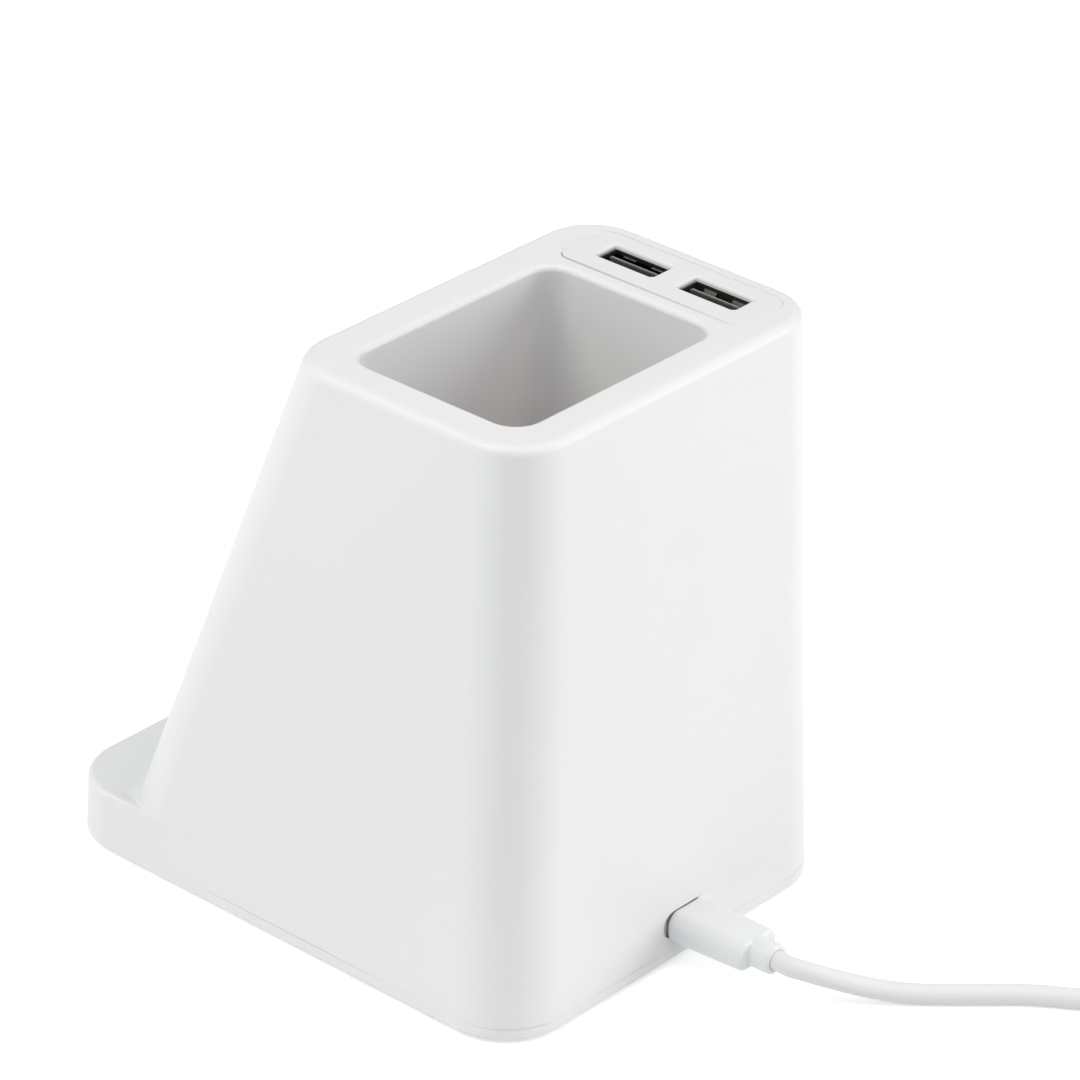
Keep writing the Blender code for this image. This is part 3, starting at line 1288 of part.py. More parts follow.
def supply_cable():
    """The run that lies seen behind the charger, the coil beyond it, and the tail to the USB-A plug."""
    start = Vector((PORT_X, RELIEF_END_Y + GAP, PORT_Z))
    route = [start] + smooth_route([Vector(point) for point in CABLE_ROUTE], CABLE_POINT_SPACING)
    tube("cable_run", route, CABLE_RADIUS, 2, cable_plastic)
    wound = cable_coil_points()
    tube("cable_coil", wound, CABLE_RADIUS, 1, cable_plastic)
    print(f"least gap between the cable's turns: {least_gap(wound, CABLE_RADIUS) * 1000:.2f} mm")
    ahead = heading(COIL_LEAD_OUT_HEADING)
    tail_start = wound[-1] + ahead * GAP
    tail_z = PLUG_A_THICKNESS / 2
    straight = 2 * CABLE_RADIUS
    tail_end = tail_start + ahead * TAIL_DROP_LENGTH
    tail_end.z = tail_z
    tail = [tail_start, tail_start + ahead * straight, tail_end - ahead * straight, tail_end]
    tube("cable_tail", smooth_route(tail, CABLE_POINT_SPACING / 2), CABLE_RADIUS, 2, cable_plastic)
    length = 0.0
    for points in (route, wound, tail):
        length += sum((second - first).length for first, second in zip(points, points[1:]))
    print(f"cable length: {length:.3f} m")
    return tail_end


def usb_a_plug(start):
    """The plug on the cable's far end, lying flat on the table."""
    holder = bpy.data.objects.new("far_plug_place", None)
    PARTS.objects.link(holder)
    holder.location = start + heading(COIL_LEAD_OUT_HEADING) * GAP
    holder.rotation_euler = (0, 0, COIL_LEAD_OUT_HEADING - math.pi / 2)
    relief_profile_a = [
        (0, PLUG_A_RELIEF_LENGTH),
        (PLUG_A_RELIEF_RADIUS, PLUG_A_RELIEF_LENGTH),
        (PLUG_A_RELIEF_END_RADIUS, RELIEF_EDGE),
        (PLUG_A_RELIEF_END_RADIUS - RELIEF_EDGE, 0),
        (0, 0),
    ]
    relief = turned("usb_a_plug_relief", relief_profile_a, plug_plastic)
    relief.parent = holder
    relief.rotation_euler = (-math.pi / 2, 0, 0)
    grip_y = PLUG_A_RELIEF_LENGTH + GAP
    grip = rounded_block(
        (0, 0),
        PLUG_A_WIDTH,
        PLUG_A_THICKNESS,
        PLUG_A_CORNER_RADIUS,
        0,
        PLUG_A_LENGTH,
        edge_radius=PLUG_EDGE_RADIUS,
        foot_radius=PLUG_EDGE_RADIUS,
    )
    lay_along_y(grip, 0, grip_y, 0)
    body = place("usb_a_plug_grip", mesh_from("usb_a_plug_grip", grip), plug_plastic)
    body.parent = holder
    smooth(body)
    shell_y = grip_y + PLUG_A_LENGTH + GAP
    middle = shell_y + PLUG_A_SHELL_LENGTH / 2
    outer = box((0, middle, 0), (PLUG_A_SHELL_WIDTH, PLUG_A_SHELL_LENGTH, PLUG_A_SHELL_THICKNESS))
    shell = place("usb_a_plug_shell", mesh_from("usb_a_plug_shell", outer), steel)
    shell.parent = holder
    inner_width = PLUG_A_SHELL_WIDTH - 2 * PLUG_A_SHELL_WALL
    inner_height = PLUG_A_SHELL_THICKNESS - 2 * PLUG_A_SHELL_WALL
    space = box((0, middle, 0), (inner_width, PLUG_A_SHELL_LENGTH + 2 * OVERRUN, inner_height))
    hollow = as_cutter("far_shell_space", mesh_from("far_shell_space", space))
    hollow.parent = holder
    cut(shell, hollow)
    insert_z = GAP - (inner_height - PLUG_A_INSERT_THICKNESS) / 2
    insert_size = (inner_width - 2 * GAP, PLUG_A_SHELL_LENGTH - GAP, PLUG_A_INSERT_THICKNESS)
    insert = box((0, middle - GAP / 2, insert_z), insert_size)
    block = place("usb_a_plug_insert", mesh_from("usb_a_plug_insert", insert), plug_plastic)
    block.parent = holder


housing()
base_cover()
cover_screws()
feet()
usb_panel()
usb_a_sockets()
usb_board()
main_board()
usb_c_port()
board_parts()
coil_assembly()
inner_leads()
usb_c_plug()
usb_a_plug(supply_cable())
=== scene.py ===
"""Looks of the wireless charger with a pen cup: finishes, finer pieces, cable, lights and camera.

Sizes are in metres unless a name or a comment says otherwise.
"""

import json
import math

import bmesh
import bpy
from mathutils import Matrix, Vector

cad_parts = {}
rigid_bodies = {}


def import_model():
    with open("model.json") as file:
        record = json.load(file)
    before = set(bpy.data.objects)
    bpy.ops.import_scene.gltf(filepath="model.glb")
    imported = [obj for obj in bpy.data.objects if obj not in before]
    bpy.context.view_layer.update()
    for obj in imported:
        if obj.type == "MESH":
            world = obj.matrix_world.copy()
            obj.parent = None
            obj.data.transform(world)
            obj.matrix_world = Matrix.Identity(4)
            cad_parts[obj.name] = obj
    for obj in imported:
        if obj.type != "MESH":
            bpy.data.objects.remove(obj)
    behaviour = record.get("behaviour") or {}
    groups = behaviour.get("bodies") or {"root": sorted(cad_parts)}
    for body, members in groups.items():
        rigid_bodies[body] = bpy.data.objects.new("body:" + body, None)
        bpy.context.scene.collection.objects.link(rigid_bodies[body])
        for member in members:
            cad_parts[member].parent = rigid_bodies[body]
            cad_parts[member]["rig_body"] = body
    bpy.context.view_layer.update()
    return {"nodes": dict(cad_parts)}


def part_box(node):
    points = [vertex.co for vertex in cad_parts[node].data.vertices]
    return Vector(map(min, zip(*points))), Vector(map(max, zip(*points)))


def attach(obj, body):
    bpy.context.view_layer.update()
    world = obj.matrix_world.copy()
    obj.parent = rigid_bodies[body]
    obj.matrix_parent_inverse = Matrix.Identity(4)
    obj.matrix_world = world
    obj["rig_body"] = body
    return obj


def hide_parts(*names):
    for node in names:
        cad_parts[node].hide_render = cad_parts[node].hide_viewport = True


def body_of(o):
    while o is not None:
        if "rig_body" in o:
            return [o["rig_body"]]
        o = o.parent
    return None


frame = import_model()
NODES = frame["nodes"]

# Sizes taken from the solids, to place what is added on them
MM = 0.001
GAP = 0.0003
SINK = 0.00001
TOP_Z = 0.1158
CUP_MIDDLE = (0.00625, 0.02509)
CUP_SIZE = (0.0523, 0.0392)
PLUG_AXIS = Vector((-0.0034, 0, 0.00757))
CABLE_RADIUS = 0.0019
CABLE_START_Y = 0.0759
CABLE_STRAIGHT = 0.0024
CABLE_STEP = 0.0022
CABLE_ROUTE = (
    (-0.0036, 0.0802, 0.0074),
    (-0.0047, 0.0820, 0.0070),
    (-0.0060, 0.0838, 0.0064),
    (-0.0090, 0.0868, 0.0050),
    (-0.0122, 0.0898, 0.0036),
    (-0.0153, 0.0929, 0.0026),
    (-0.0183, 0.0961, 0.0020),
    (-0.0211, 0.0992, 0.0019),
    (-0.0268, 0.1053, 0.0019),
    (-0.0327, 0.1117, 0.0019),
    (-0.0376, 0.1188, 0.0019),
    (-0.0445, 0.1292, 0.0019),
    (-0.0518, 0.1407, 0.0019),
    (-0.0592, 0.1523, 0.0019),
)
LAP_TURNS = 3
LAP_GAP = 0.0005
LAYER_GAP = 0.00045
LOOP_POINTS = 24
COIL_HEADING = math.radians(123)
CABLE_COIL_RADIUS = 0.028
TAIL_DROP_LENGTH = 0.024
FAR_PLUG_THICKNESS = 0.0076


# Camera, at the photograph's viewing angle
CAMERA_PLACE = (0.658679, 0.595988, 0.552794)
CAMERA_RIGHT = (-0.66468646, 0.74688067, 0.0190045)
CAMERA_UP = (-0.34838504, -0.33234682, 0.87645505)
CAMERA_BACK = (0.66092342, 0.57594693, 0.48110848)
CAMERA_LENS_MM = 187.2086


def camera():
    """The camera, turned by its own three directions."""
    data = bpy.data.cameras.new("camera")
    data.sensor_width = 36
    data.lens = CAMERA_LENS_MM
    data.clip_start = 0.02
    data.clip_end = 50
    made = bpy.data.objects.new("camera", data)
    turn = Matrix((CAMERA_RIGHT, CAMERA_UP, CAMERA_BACK)).transposed().to_4x4()
    made.matrix_world = Matrix.Translation(CAMERA_PLACE) @ turn
    bpy.context.scene.collection.objects.link(made)
    bpy.context.scene.camera = made


camera()


# Shader maths written as expressions
class Value:
    """A socket that numbers and other sockets can be added to, taken from and multiplied by."""

    def __init__(self, sheet, socket):
        self.sheet = sheet
        self.socket = socket

    def __add__(self, other):
        return self.sheet.maths("ADD", self, other)

    def __radd__(self, other):
        return self.sheet.maths("ADD", other, self)

    def __sub__(self, other):
        return self.sheet.maths("SUBTRACT", self, other)

    def __rsub__(self, other):
        return self.sheet.maths("SUBTRACT", other, self)

    def __mul__(self, other):
        return self.sheet.maths("MULTIPLY", self, other)

    def __rmul__(self, other):
        return self.sheet.maths("MULTIPLY", other, self)

    def held(self):
        """The value kept between zero and one."""
        return self.sheet.maths("ADD", self, 0.0, use_clamp=True)

    def size(self):
        """The value without its sign."""
        return self.sheet.maths("ABSOLUTE", self, 0.0)

    def step(self, low, high):
        """Rises smoothly from zero at the low value to one at the high one."""
        ramp = self.sheet.node(
            "ShaderNodeMapRange",
            {"interpolation_type": "SMOOTHSTEP"},
            {"Value": self, "From Min": low, "From Max": high},
        )
        return ramp["Result"]


class Sheet:
    """A node tree being written, for a material or for geometry."""

    def __init__(self, tree):
        self.tree = tree

    def node(self, kind, settings=None, values=None):
        """A node of any type: its settings are set first, and then the values or links of its sockets."""
        made = self.tree.nodes.new(kind)
        for name, setting in (settings or {}).items():
            setattr(made, name, setting)
        for key, value in (values or {}).items():
            socket = made.inputs[key]
            if isinstance(value, Value):
                self.tree.links.new(value.socket, socket)
            else:
                socket.default_value = value
        return Outputs(self, made)

    def maths(self, operation, first, second, use_clamp=False):
        settings = {"operation": operation, "use_clamp": use_clamp}
        return self.node("ShaderNodeMath", settings, {0: first, 1: second})[0]

    def mix(self, share, first, second):
        """Two colours mixed by a share."""
        colours = [colour if isinstance(colour, Value) else (*colour, 1) for colour in (first, second)]
        values = {0: share, 6: colours[0], 7: colours[1]}
        return self.node("ShaderNodeMix", {"data_type": "RGBA"}, values)[2]

    def noise(self, place, scale, detail=3.0, roughness=0.5):
        values = {"Vector": place, "Scale": scale, "Detail": detail, "Roughness": roughness}
        return self.node("ShaderNodeTexNoise", None, values)[0]


class Outputs:
    """A made node: its outputs by name or number."""

    def __init__(self, sheet, node):
        self.sheet = sheet
        self.node = node

    def __getitem__(self, key):
        return Value(self.sheet, self.node.outputs[key])


class Finish(Sheet):
    """A material written on object coordinates."""

    def __init__(self, name):
        self.material = bpy.data.materials.new(name)
        self.material.use_nodes = True
        super().__init__(self.material.node_tree)
        self.shader = self.tree.nodes["Principled BSDF"]
        self.place = self.node("ShaderNodeTexCoord")["Object"]

    def axis(self, letter):
        return self.node("ShaderNodeSeparateXYZ", None, {0: self.place})[letter]

    def set(self, **values):
        """Sets the shader's sockets, named with _ for each space."""
        for name, value in values.items():
            socket = self.shader.inputs[name.replace("_", " ")]
            if isinstance(value, Value):
                self.tree.links.new(value.socket, socket)
            else:
                socket.default_value = (*value, 1) if isinstance(value, tuple) else value
        return self

    def bump(self, height, distance, strength):
        values = {"Height": height, "Distance": distance, "Strength": strength}
        return self.node("ShaderNodeBump", None, values)["Normal"]


def moulded_plastic(name, light, shade, roughness, grain=0.00002, painted_shade=None):
    """Moulded plastic with a fine spark-eroded grain, faint clouds in its colour and patches in its gloss.

    A function may add painted shade to the colour, as down inside the cup or along the panel's edge beside
    the cup.
    """
    made = Finish(name)
    clouds = made.noise(made.place, 28.0, 2.0)
    fine = made.noise(made.place, 2600.0, 2.0, 0.6)
    patches = made.noise(made.place, 90.0)
    colour = made.mix(clouds.step(0.3, 0.7), shade, light)
    if painted_shade is not None:
        colour = painted_shade(made, colour)
    made.set(
        Base_Color=colour,
        Roughness=roughness + (patches - 0.5) * 0.08 + (fine - 0.5) * 0.05,
        Normal=made.bump(fine, grain, 0.35),
    )
    return made.material


def drawn_lines(made):
    """Fine lines along the X axis, as drawing or stamping leaves them."""
    drawn = made.node("ShaderNodeMapping", None, {"Vector": made.place, "Scale": (0.15, 1.0, 1.0)})[0]
    return made.noise(drawn, 2400.0, 2.0)


def metal(name, light, shade, roughness):
    """Drawn or stamped metal: fine lines along one way, with dull patches."""
    made = Finish(name)
    lines = drawn_lines(made)
    patches = made.noise(made.place, 420.0)
    made.set(
        Base_Color=made.mix(patches.step(0.35, 0.7), light, shade),
        Metallic=1.0,
        Roughness=roughness + (lines - 0.5) * 0.16 + (patches - 0.5) * 0.1,
        Normal=made.bump(lines, 0.00001, 0.4),
    )
    return made.material


def mottled(name, light, shade, roughness, scale, grain=0.00003):
    """A plain compound with a speckle: rubber, ferrite, laminate or resin."""
    made = Finish(name)
    specks = made.noise(made.place, scale, 4.0, 0.65)
    made.set(
        Base_Color=made.mix(specks.step(0.4, 0.65), shade, light),
        Roughness=roughness + (specks - 0.5) * 0.15,
        Normal=made.bump(specks, grain, 0.5),
    )
    return made.material


# Where the socket steel gets its painted highlight
SOCKET_RIM_Z = (0.11503, 0.11508)
SOCKET_FAR_WALL_X = (-0.03298, -0.03303)


def socket_metal():
    """The socket's dull stamped steel, with a pale non-metal painted highlight on the top edge of its far
    wall.
    """
    made = Finish("socket_steel")
    lines = drawn_lines(made)
    # painted highlight: the far wall's top edge turns pale and not metal, standing in for a reflection
    rim = made.axis("Z").step(*SOCKET_RIM_Z) * made.axis("X").step(*SOCKET_FAR_WALL_X)
    made.set(
        Base_Color=made.mix(rim, (0.3, 0.3, 0.29), (0.8, 0.8, 0.79)),
        Metallic=1.0 - rim,
        Roughness=0.35 + (lines - 0.5) * 0.16,
        Normal=made.bump(lines, 0.00001, 0.4),
    )
    return made.material


def painted_cup_shade(made, colour):
    """Painted shade: makes the housing a little darker and greyer down inside the cup, more with depth."""
    half_x, half_y = CUP_SIZE[0] / 2, CUP_SIZE[1] / 2
    within_x = (made.axis("X") - CUP_MIDDLE[0]).size().step(half_x + MM, half_x)
    within_y = (made.axis("Y") - CUP_MIDDLE[1]).size().step(half_y + MM, half_y)
    depth = made.axis("Z").step(TOP_Z - 2 * MM, TOP_Z - 70 * MM)
    # painted shade, deeper down in the cup
    return made.mix(within_x * within_y * depth, colour, (0.7, 0.67, 0.68))


PANEL_CUP_EDGE_X = (-0.02335, -0.0230)
PANEL_CUP_GAP_X = (-0.0246, -0.0232)
PANEL_OUTER_GAP_X = (-0.0362, -0.0368)
PANEL_RUN_Y = (0.008, 0.06)


def panel_fading(made):
    """Falls from one at the panel's front end towards a quarter at its rear end."""
    return 1.0 - made.axis("Y").step(*PANEL_RUN_Y) * 0.75


def panel_edge_painted_shade(made, colour):
    """Painted shade: darkens the outlet panel along its rounded edge beside the cup, less towards its rear
    end.
    """
    return made.mix(made.axis("X").step(*PANEL_CUP_EDGE_X) * panel_fading(made), colour, (0.6, 0.6, 0.595))


def panel_seam_painted_shade(made):
    """How much painted shade the seam band round the outlet panel gets: most beside the cup, less along its
    outer side.
    """
    beside_cup = made.axis("X").step(*PANEL_CUP_GAP_X)
    outer_side = made.axis("X").step(*PANEL_OUTER_GAP_X) * 0.2
    return (beside_cup + outer_side) * panel_fading(made)


# Where the seam band round the foot gets painted shade
LONG_SIDE_X = (0.0435, 0.0445)
LONG_SIDE_SHADE_STARTS_Y = (-0.028, -0.004)
LONG_SIDE_SHADE_ENDS_Y = (0.034, 0.010)
REAR_CORNER_X = (0.029, 0.037)
REAR_CORNER_Y = (0.042, 0.053)
BESIDE_PORT_OUTER_X = (0.028, 0.010)
BESIDE_PORT_INNER_X = (0.003, 0.008)
REAR_FACE_Y = (0.050, 0.056)


def base_seam_painted_shade(made):
    """How much painted shade the seam band round the foot gets: along its long sides, at the rear corners and
    beside the port.
    """
    aside = made.axis("X").size()
    back = made.axis("Y")
    long_side = aside.step(*LONG_SIDE_X) * back.step(*LONG_SIDE_SHADE_STARTS_Y) * back.step(*LONG_SIDE_SHADE_ENDS_Y)
    rear_corner = aside.step(*REAR_CORNER_X) * back.step(*REAR_CORNER_Y) * 0.72
    beside_port = aside.step(*BESIDE_PORT_OUTER_X) * aside.step(*BESIDE_PORT_INNER_X)
    return long_side + rear_corner + beside_port * back.step(*REAR_FACE_Y) * 0.75


def seam_finish(name, opening, closed, shadow, roughness):
    """A band in the seam between two mouldings: pale, with painted shade where its mask says the seam's
    shadow falls.
    """
    made = Finish(name)
    dust = made.noise(made.place, 1500.0, 2.0)
    made.set(
        # the opening mask gives the share of painted shade
        Base_Color=made.mix(opening(made), closed, shadow),
        Roughness=roughness + (dust - 0.5) * 0.1,
        Normal=made.bump(dust, 0.00001, 0.3),
    )
    return made.material


WHITE = (0.865, 0.868, 0.862)
CLOUDED_WHITE = (0.852, 0.855, 0.85)

# housing plastic with painted shade down inside the cup
white_shell = moulded_plastic("white_shell", WHITE, CLOUDED_WHITE, 0.42, painted_shade=painted_cup_shade)
tray_white = moulded_plastic("tray_white", WHITE, CLOUDED_WHITE, 0.42)
# panel plastic with painted shade along its edge beside the cup
panel_white = moulded_plastic(
    "panel_white", (0.86, 0.86, 0.855), (0.845, 0.845, 0.84), 0.4, 0.000015, panel_edge_painted_shade
)
# Seam bands whose colour carries painted shade where their masks say, standing in for the shadow in each gap
seam_grey = seam_finish("panel_gap", panel_seam_painted_shade, (0.845, 0.848, 0.843), (0.24, 0.24, 0.245), 0.62)
seam_white = seam_finish("base_gap", base_seam_painted_shade, WHITE, (0.7, 0.705, 0.705), 0.6)
rubber = mottled("foot_rubber", (0.10, 0.10, 0.10), (0.06, 0.06, 0.06), 0.75, 1800.0)
steel = metal("zinc_steel", (0.62, 0.62, 0.63), (0.48, 0.48, 0.5), 0.3)
socket_steel = socket_metal()
finger_steel = metal("finger_steel", (0.17, 0.148, 0.138), (0.12, 0.102, 0.096), 0.4)
port_steel = metal("port_steel", (0.76, 0.73, 0.69), (0.62, 0.59, 0.555), 0.5)
gold = metal("contact_gold", (0.83, 0.62, 0.3), (0.7, 0.5, 0.22), 0.28)
tongue_grey = mottled("tongue_grey", (0.085, 0.088, 0.086), (0.062, 0.065, 0.063), 0.55, 1500.0, 0.00001)
# a painted highlight for the tongue's top edge
tongue_rim = mottled("tongue_rim", (0.4, 0.4, 0.4), (0.32, 0.32, 0.32), 0.4, 1500.0, 0.00001)
contact_block = mottled("contact_block", (0.025, 0.025, 0.026), (0.016, 0.016, 0.017), 0.4, 1500.0)
laminate = mottled("board_laminate", (0.04, 0.19, 0.09), (0.03, 0.14, 0.06), 0.42, 900.0)
resin = mottled("chip_resin", (0.035, 0.035, 0.037), (0.025, 0.025, 0.026), 0.55, 2400.0)
inductor_grey = mottled("inductor_grey", (0.22, 0.22, 0.23), (0.14, 0.14, 0.15), 0.6, 3000.0)
sleeve = mottled("capacitor_sleeve", (0.10, 0.11, 0.18), (0.07, 0.08, 0.13), 0.35, 500.0)
enamel = metal("enamelled_copper", (0.75, 0.34, 0.16), (0.6, 0.24, 0.1), 0.3)
ferrite = mottled("ferrite_grey", (0.085, 0.085, 0.095), (0.055, 0.055, 0.06), 0.7, 1600.0)
carrier_black = mottled("carrier_black", (0.09, 0.09, 0.09), (0.07, 0.07, 0.07), 0.55, 1200.0)
lead_red = mottled("lead_red", (0.55, 0.06, 0.05), (0.45, 0.045, 0.035), 0.45, 700.0)
plug_white = moulded_plastic("plug_white", (0.888, 0.912, 0.908), (0.872, 0.898, 0.895), 0.38, 0.000012)
cable_white = moulded_plastic("cable_white", (0.865, 0.875, 0.87), (0.85, 0.86, 0.855), 0.5, 0.00001)


# Shapes
WELD = 1e-6
FLAT_ANGLE = math.radians(0.6)


def add_mesh(name, data, coat=None):
    """A new object in the scene, with a finish if one is given."""
    made = bpy.data.objects.new(name, data)
    bpy.context.scene.collection.objects.link(made)
    if coat is not None:
        data.materials.append(coat)
    return made


def mesh_of(name, work):
    """The mesh data of some work, which is then set free."""
    data = bpy.data.meshes.new(name)
    work.to_mesh(data)
    work.free()
    return data


def rounded_outline(middle, width, height, radius, steps):
    """Points round a rectangle with round corners."""
    points = []
    for side_x, side_y, start in ((1, 1, 0), (-1, 1, 90), (-1, -1, 180), (1, -1, 270)):
        corner = Vector(middle) + Vector((side_x * (width / 2 - radius), side_y * (height / 2 - radius)))
        for i in range(steps + 1):
            turn = math.radians(start + 90 * i / steps)
            points.append(corner + radius * Vector((math.cos(turn), math.sin(turn))))
    return points


def lofted(rings, round_again=False):
    """A skin over closed rings of as many points each, with flat ends or joined round to the first ring."""
    work = bmesh.new()
    loops = [[work.verts.new(point) for point in ring] for ring in rings]
    pairs = list(zip(loops, loops[1:]))
    if round_again:
        pairs.append((loops[-1], loops[0]))
    count = len(loops[0])
    for first, second in pairs:
        for i in range(count):
            j = (i + 1) % count
            work.faces.new((first[i], first[j], second[j], second[i]))
    if not round_again:
        work.faces.new(loops[0])
        work.faces.new(loops[-1])
    bmesh.ops.recalc_face_normals(work, faces=work.faces)
    return work


def mark_sharp(data, angle):
    """Marks the edges that turn by more than an angle, so that the shading breaks there and nowhere else."""
    work = bmesh.new()
    work.from_mesh(data)
    for line in work.edges:
        line.smooth = len(line.link_faces) == 2 and line.calc_face_angle(0) <= angle
    work.to_mesh(data)
    work.free()


def finished(name, work, coat, angle=32, edge=0.0, cutter=None):
    """A plain piece from some mesh: cut, its edges rounded, and shaded smooth with flat faces kept flat."""
    made = add_mesh(name, mesh_of(name, work), coat)
    if cutter is not None:
        tool = add_mesh(name + "_cutter", mesh_of(name + "_cutter", cutter))
        away = made.modifiers.new("cut", "BOOLEAN")
        away.operation = "DIFFERENCE"
        away.solver = "EXACT"
        away.object = tool
        made = settled(made)
        bpy.data.objects.remove(tool, do_unlink=True)
    if edge:
        mark_sharp(made.data, math.radians(angle))
        ease = made.modifiers.new("ease", "BEVEL")
        ease.width = edge
        ease.segments = 2
        ease.limit_method = "ANGLE"
        ease.angle_limit = math.radians(angle)
        ease.use_clamp_overlap = False
        made = settled(made)
    made.data.shade_smooth()
    mark_sharp(made.data, math.radians(angle))
    weigh = made.modifiers.new("weigh", "WEIGHTED_NORMAL")
    weigh.keep_sharp = True
    weigh.weight = 100
    return settled(made)


def box_shape(low, high, work=None):
    """A box between two corners, added to the mesh if one is given."""
    work = work or bmesh.new()
    low = Vector(low)
    high = Vector(high)
    size = Matrix.Diagonal((*(high - low), 1))
    bmesh.ops.create_cube(work, size=1, matrix=Matrix.Translation((low + high) / 2) @ size)
    return work


def turned_shape(profile, sides):
    """A shape turned round the Z axis from radius and height pairs, closed on the axis at both ends."""
    rings = []
    for radius, height in profile:
        ring = []
        for i in range(sides):
            turn = 2 * math.pi * i / sides
            ring.append(Vector((radius * math.cos(turn), radius * math.sin(turn), height)))
        rings.append(ring)
    return lofted(rings)


def settled(piece):
    """The piece with its modifiers made into plain mesh."""
    graph = bpy.context.evaluated_depsgraph_get()
    evaluated = piece.evaluated_get(graph)
    data = bpy.data.meshes.new_from_object(evaluated, preserve_all_data_layers=True, depsgraph=graph)
    name = piece.name
    bpy.data.objects.remove(piece, do_unlink=True)
    return add_mesh(name, data)


def standing_for(piece, *nodes):
    """Rides with the solids that it stands for, and hides them."""
    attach(piece, body_of(NODES[nodes[0]])[0])
    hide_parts(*nodes)
    return piece


def refined(name, node, coat, angle=32, edge=0.0):
    """A smooth-shaded copy of a solid's mesh, with flat faces kept flat, that stands for it."""
    work = bmesh.new()
    work.from_mesh(NODES[node].data)
    bmesh.ops.remove_doubles(work, verts=work.verts, dist=WELD)
    bmesh.ops.dissolve_degenerate(work, edges=work.edges, dist=WELD / 10)
    bmesh.ops.dissolve_limit(
        work, angle_limit=FLAT_ANGLE, use_dissolve_boundaries=False, verts=work.verts, edges=work.edges
    )
    return standing_for(finished(name, work, coat, angle, edge), node)


def coat_nodes(coat, *names):
    """Gives solids that show as they are their finish."""
    for name in names:
        data = NODES[name].data
        data.materials.clear()
        data.materials.append(coat)


CURVE_STEPS = 16


def direction_at(before, point, after):
    """The curve's way through a point, led more by the nearer of its neighbours."""
    arriving = point - before
    leaving = after - point
    slow = arriving.length
    quick = leaving.length
    return (arriving * quick / slow + leaving * slow / quick) / (slow + quick)


def smooth_route(points, spacing):
    """Points at even steps along a smooth curve that passes through the given ones."""
    points = [Vector(point) for point in points]
    padded = [2 * points[0] - points[1], *points, 2 * points[-1] - points[-2]]
    fine = []
    for before, start, end, after in zip(padded, padded[1:], padded[2:], padded[3:]):
        span = (end - start).length
        leave = direction_at(before, start, end) * span
        arrive = direction_at(start, end, after) * span
        for i in range(CURVE_STEPS):
            t = i / CURVE_STEPS
            fine.append(
                (2 * t**3 - 3 * t**2 + 1) * start
                + (t**3 - 2 * t**2 + t) * leave
                + (3 * t**2 - 2 * t**3) * end
                + (t**3 - t**2) * arrive
            )
    fine.append(points[-1])
    lengths = [0.0]
    for start, end in zip(fine, fine[1:]):
        lengths.append(lengths[-1] + (end - start).length)
    count = max(2, round(lengths[-1] / spacing))
    route = []
    at = 0
    for i in range(count + 1):
        wanted = lengths[-1] * i / count
        while at < len(fine) - 2 and lengths[at + 1] < wanted:
            at += 1
        share = (wanted - lengths[at]) / (lengths[at + 1] - lengths[at])
        route.append(fine[at].lerp(fine[at + 1], share))
    return route


def heading(angle):
    """A level way at an angle from the X axis."""
    return Vector((math.cos(angle), math.sin(angle), 0))


def cable_coil_points():
    """The wound length: a spiral in on the table, a climb at its middle, and a spiral out above."""
    start = Vector(CABLE_ROUTE[-1])
    ahead = heading(COIL_HEADING)
    right = Vector((ahead.y, -ahead.x, 0))
    centre = start + ahead * (2 * CABLE_RADIUS + GAP) + right * CABLE_COIL_RADIUS
    start_angle = COIL_HEADING + math.pi / 2
    sweep = COIL_HEADING + 2 * LAP_TURNS * 2 * math.pi
    pitch = 2 * CABLE_RADIUS + LAP_GAP
    climb = 2 * CABLE_RADIUS + LAYER_GAP
    steps = round(sweep / (2 * math.pi) * LOOP_POINTS)
    points = []
    for i in range(steps + 1):
        turned_by = sweep * i / steps
        from_middle = turned_by - sweep / 2
        radius = CABLE_COIL_RADIUS - pitch * (sweep / 2 - abs(from_middle)) / (2 * math.pi)
        rise = min(1, max(0, from_middle / math.pi + 1 / 2))
        rise = rise * rise * (3 - 2 * rise)
        points.append(centre + heading(start_angle - turned_by) * radius + Vector((0, 0, climb * rise)))
    points.append(points[-1] + heading(0) * 2 * CABLE_RADIUS)
    return points


def cable_path():
    """Every point of the cable's middle line, from the relief on one plug to the relief on the other."""
    wound = cable_coil_points()
    tail_start = wound[-1] + heading(0) * GAP
    tail_end = tail_start + heading(0) * TAIL_DROP_LENGTH
    tail_end.z = FAR_PLUG_THICKNESS / 2
    straight = heading(0) * 2 * CABLE_RADIUS
    tail = [tail_start + straight, tail_end - straight, tail_end]
    begin = Vector((PLUG_AXIS.x, CABLE_START_Y, PLUG_AXIS.z))
    straight_end = begin + Vector((0, CABLE_STRAIGHT, 0))
    return smooth_route([begin, straight_end, *CABLE_ROUTE, *wound, *tail], CABLE_STEP)


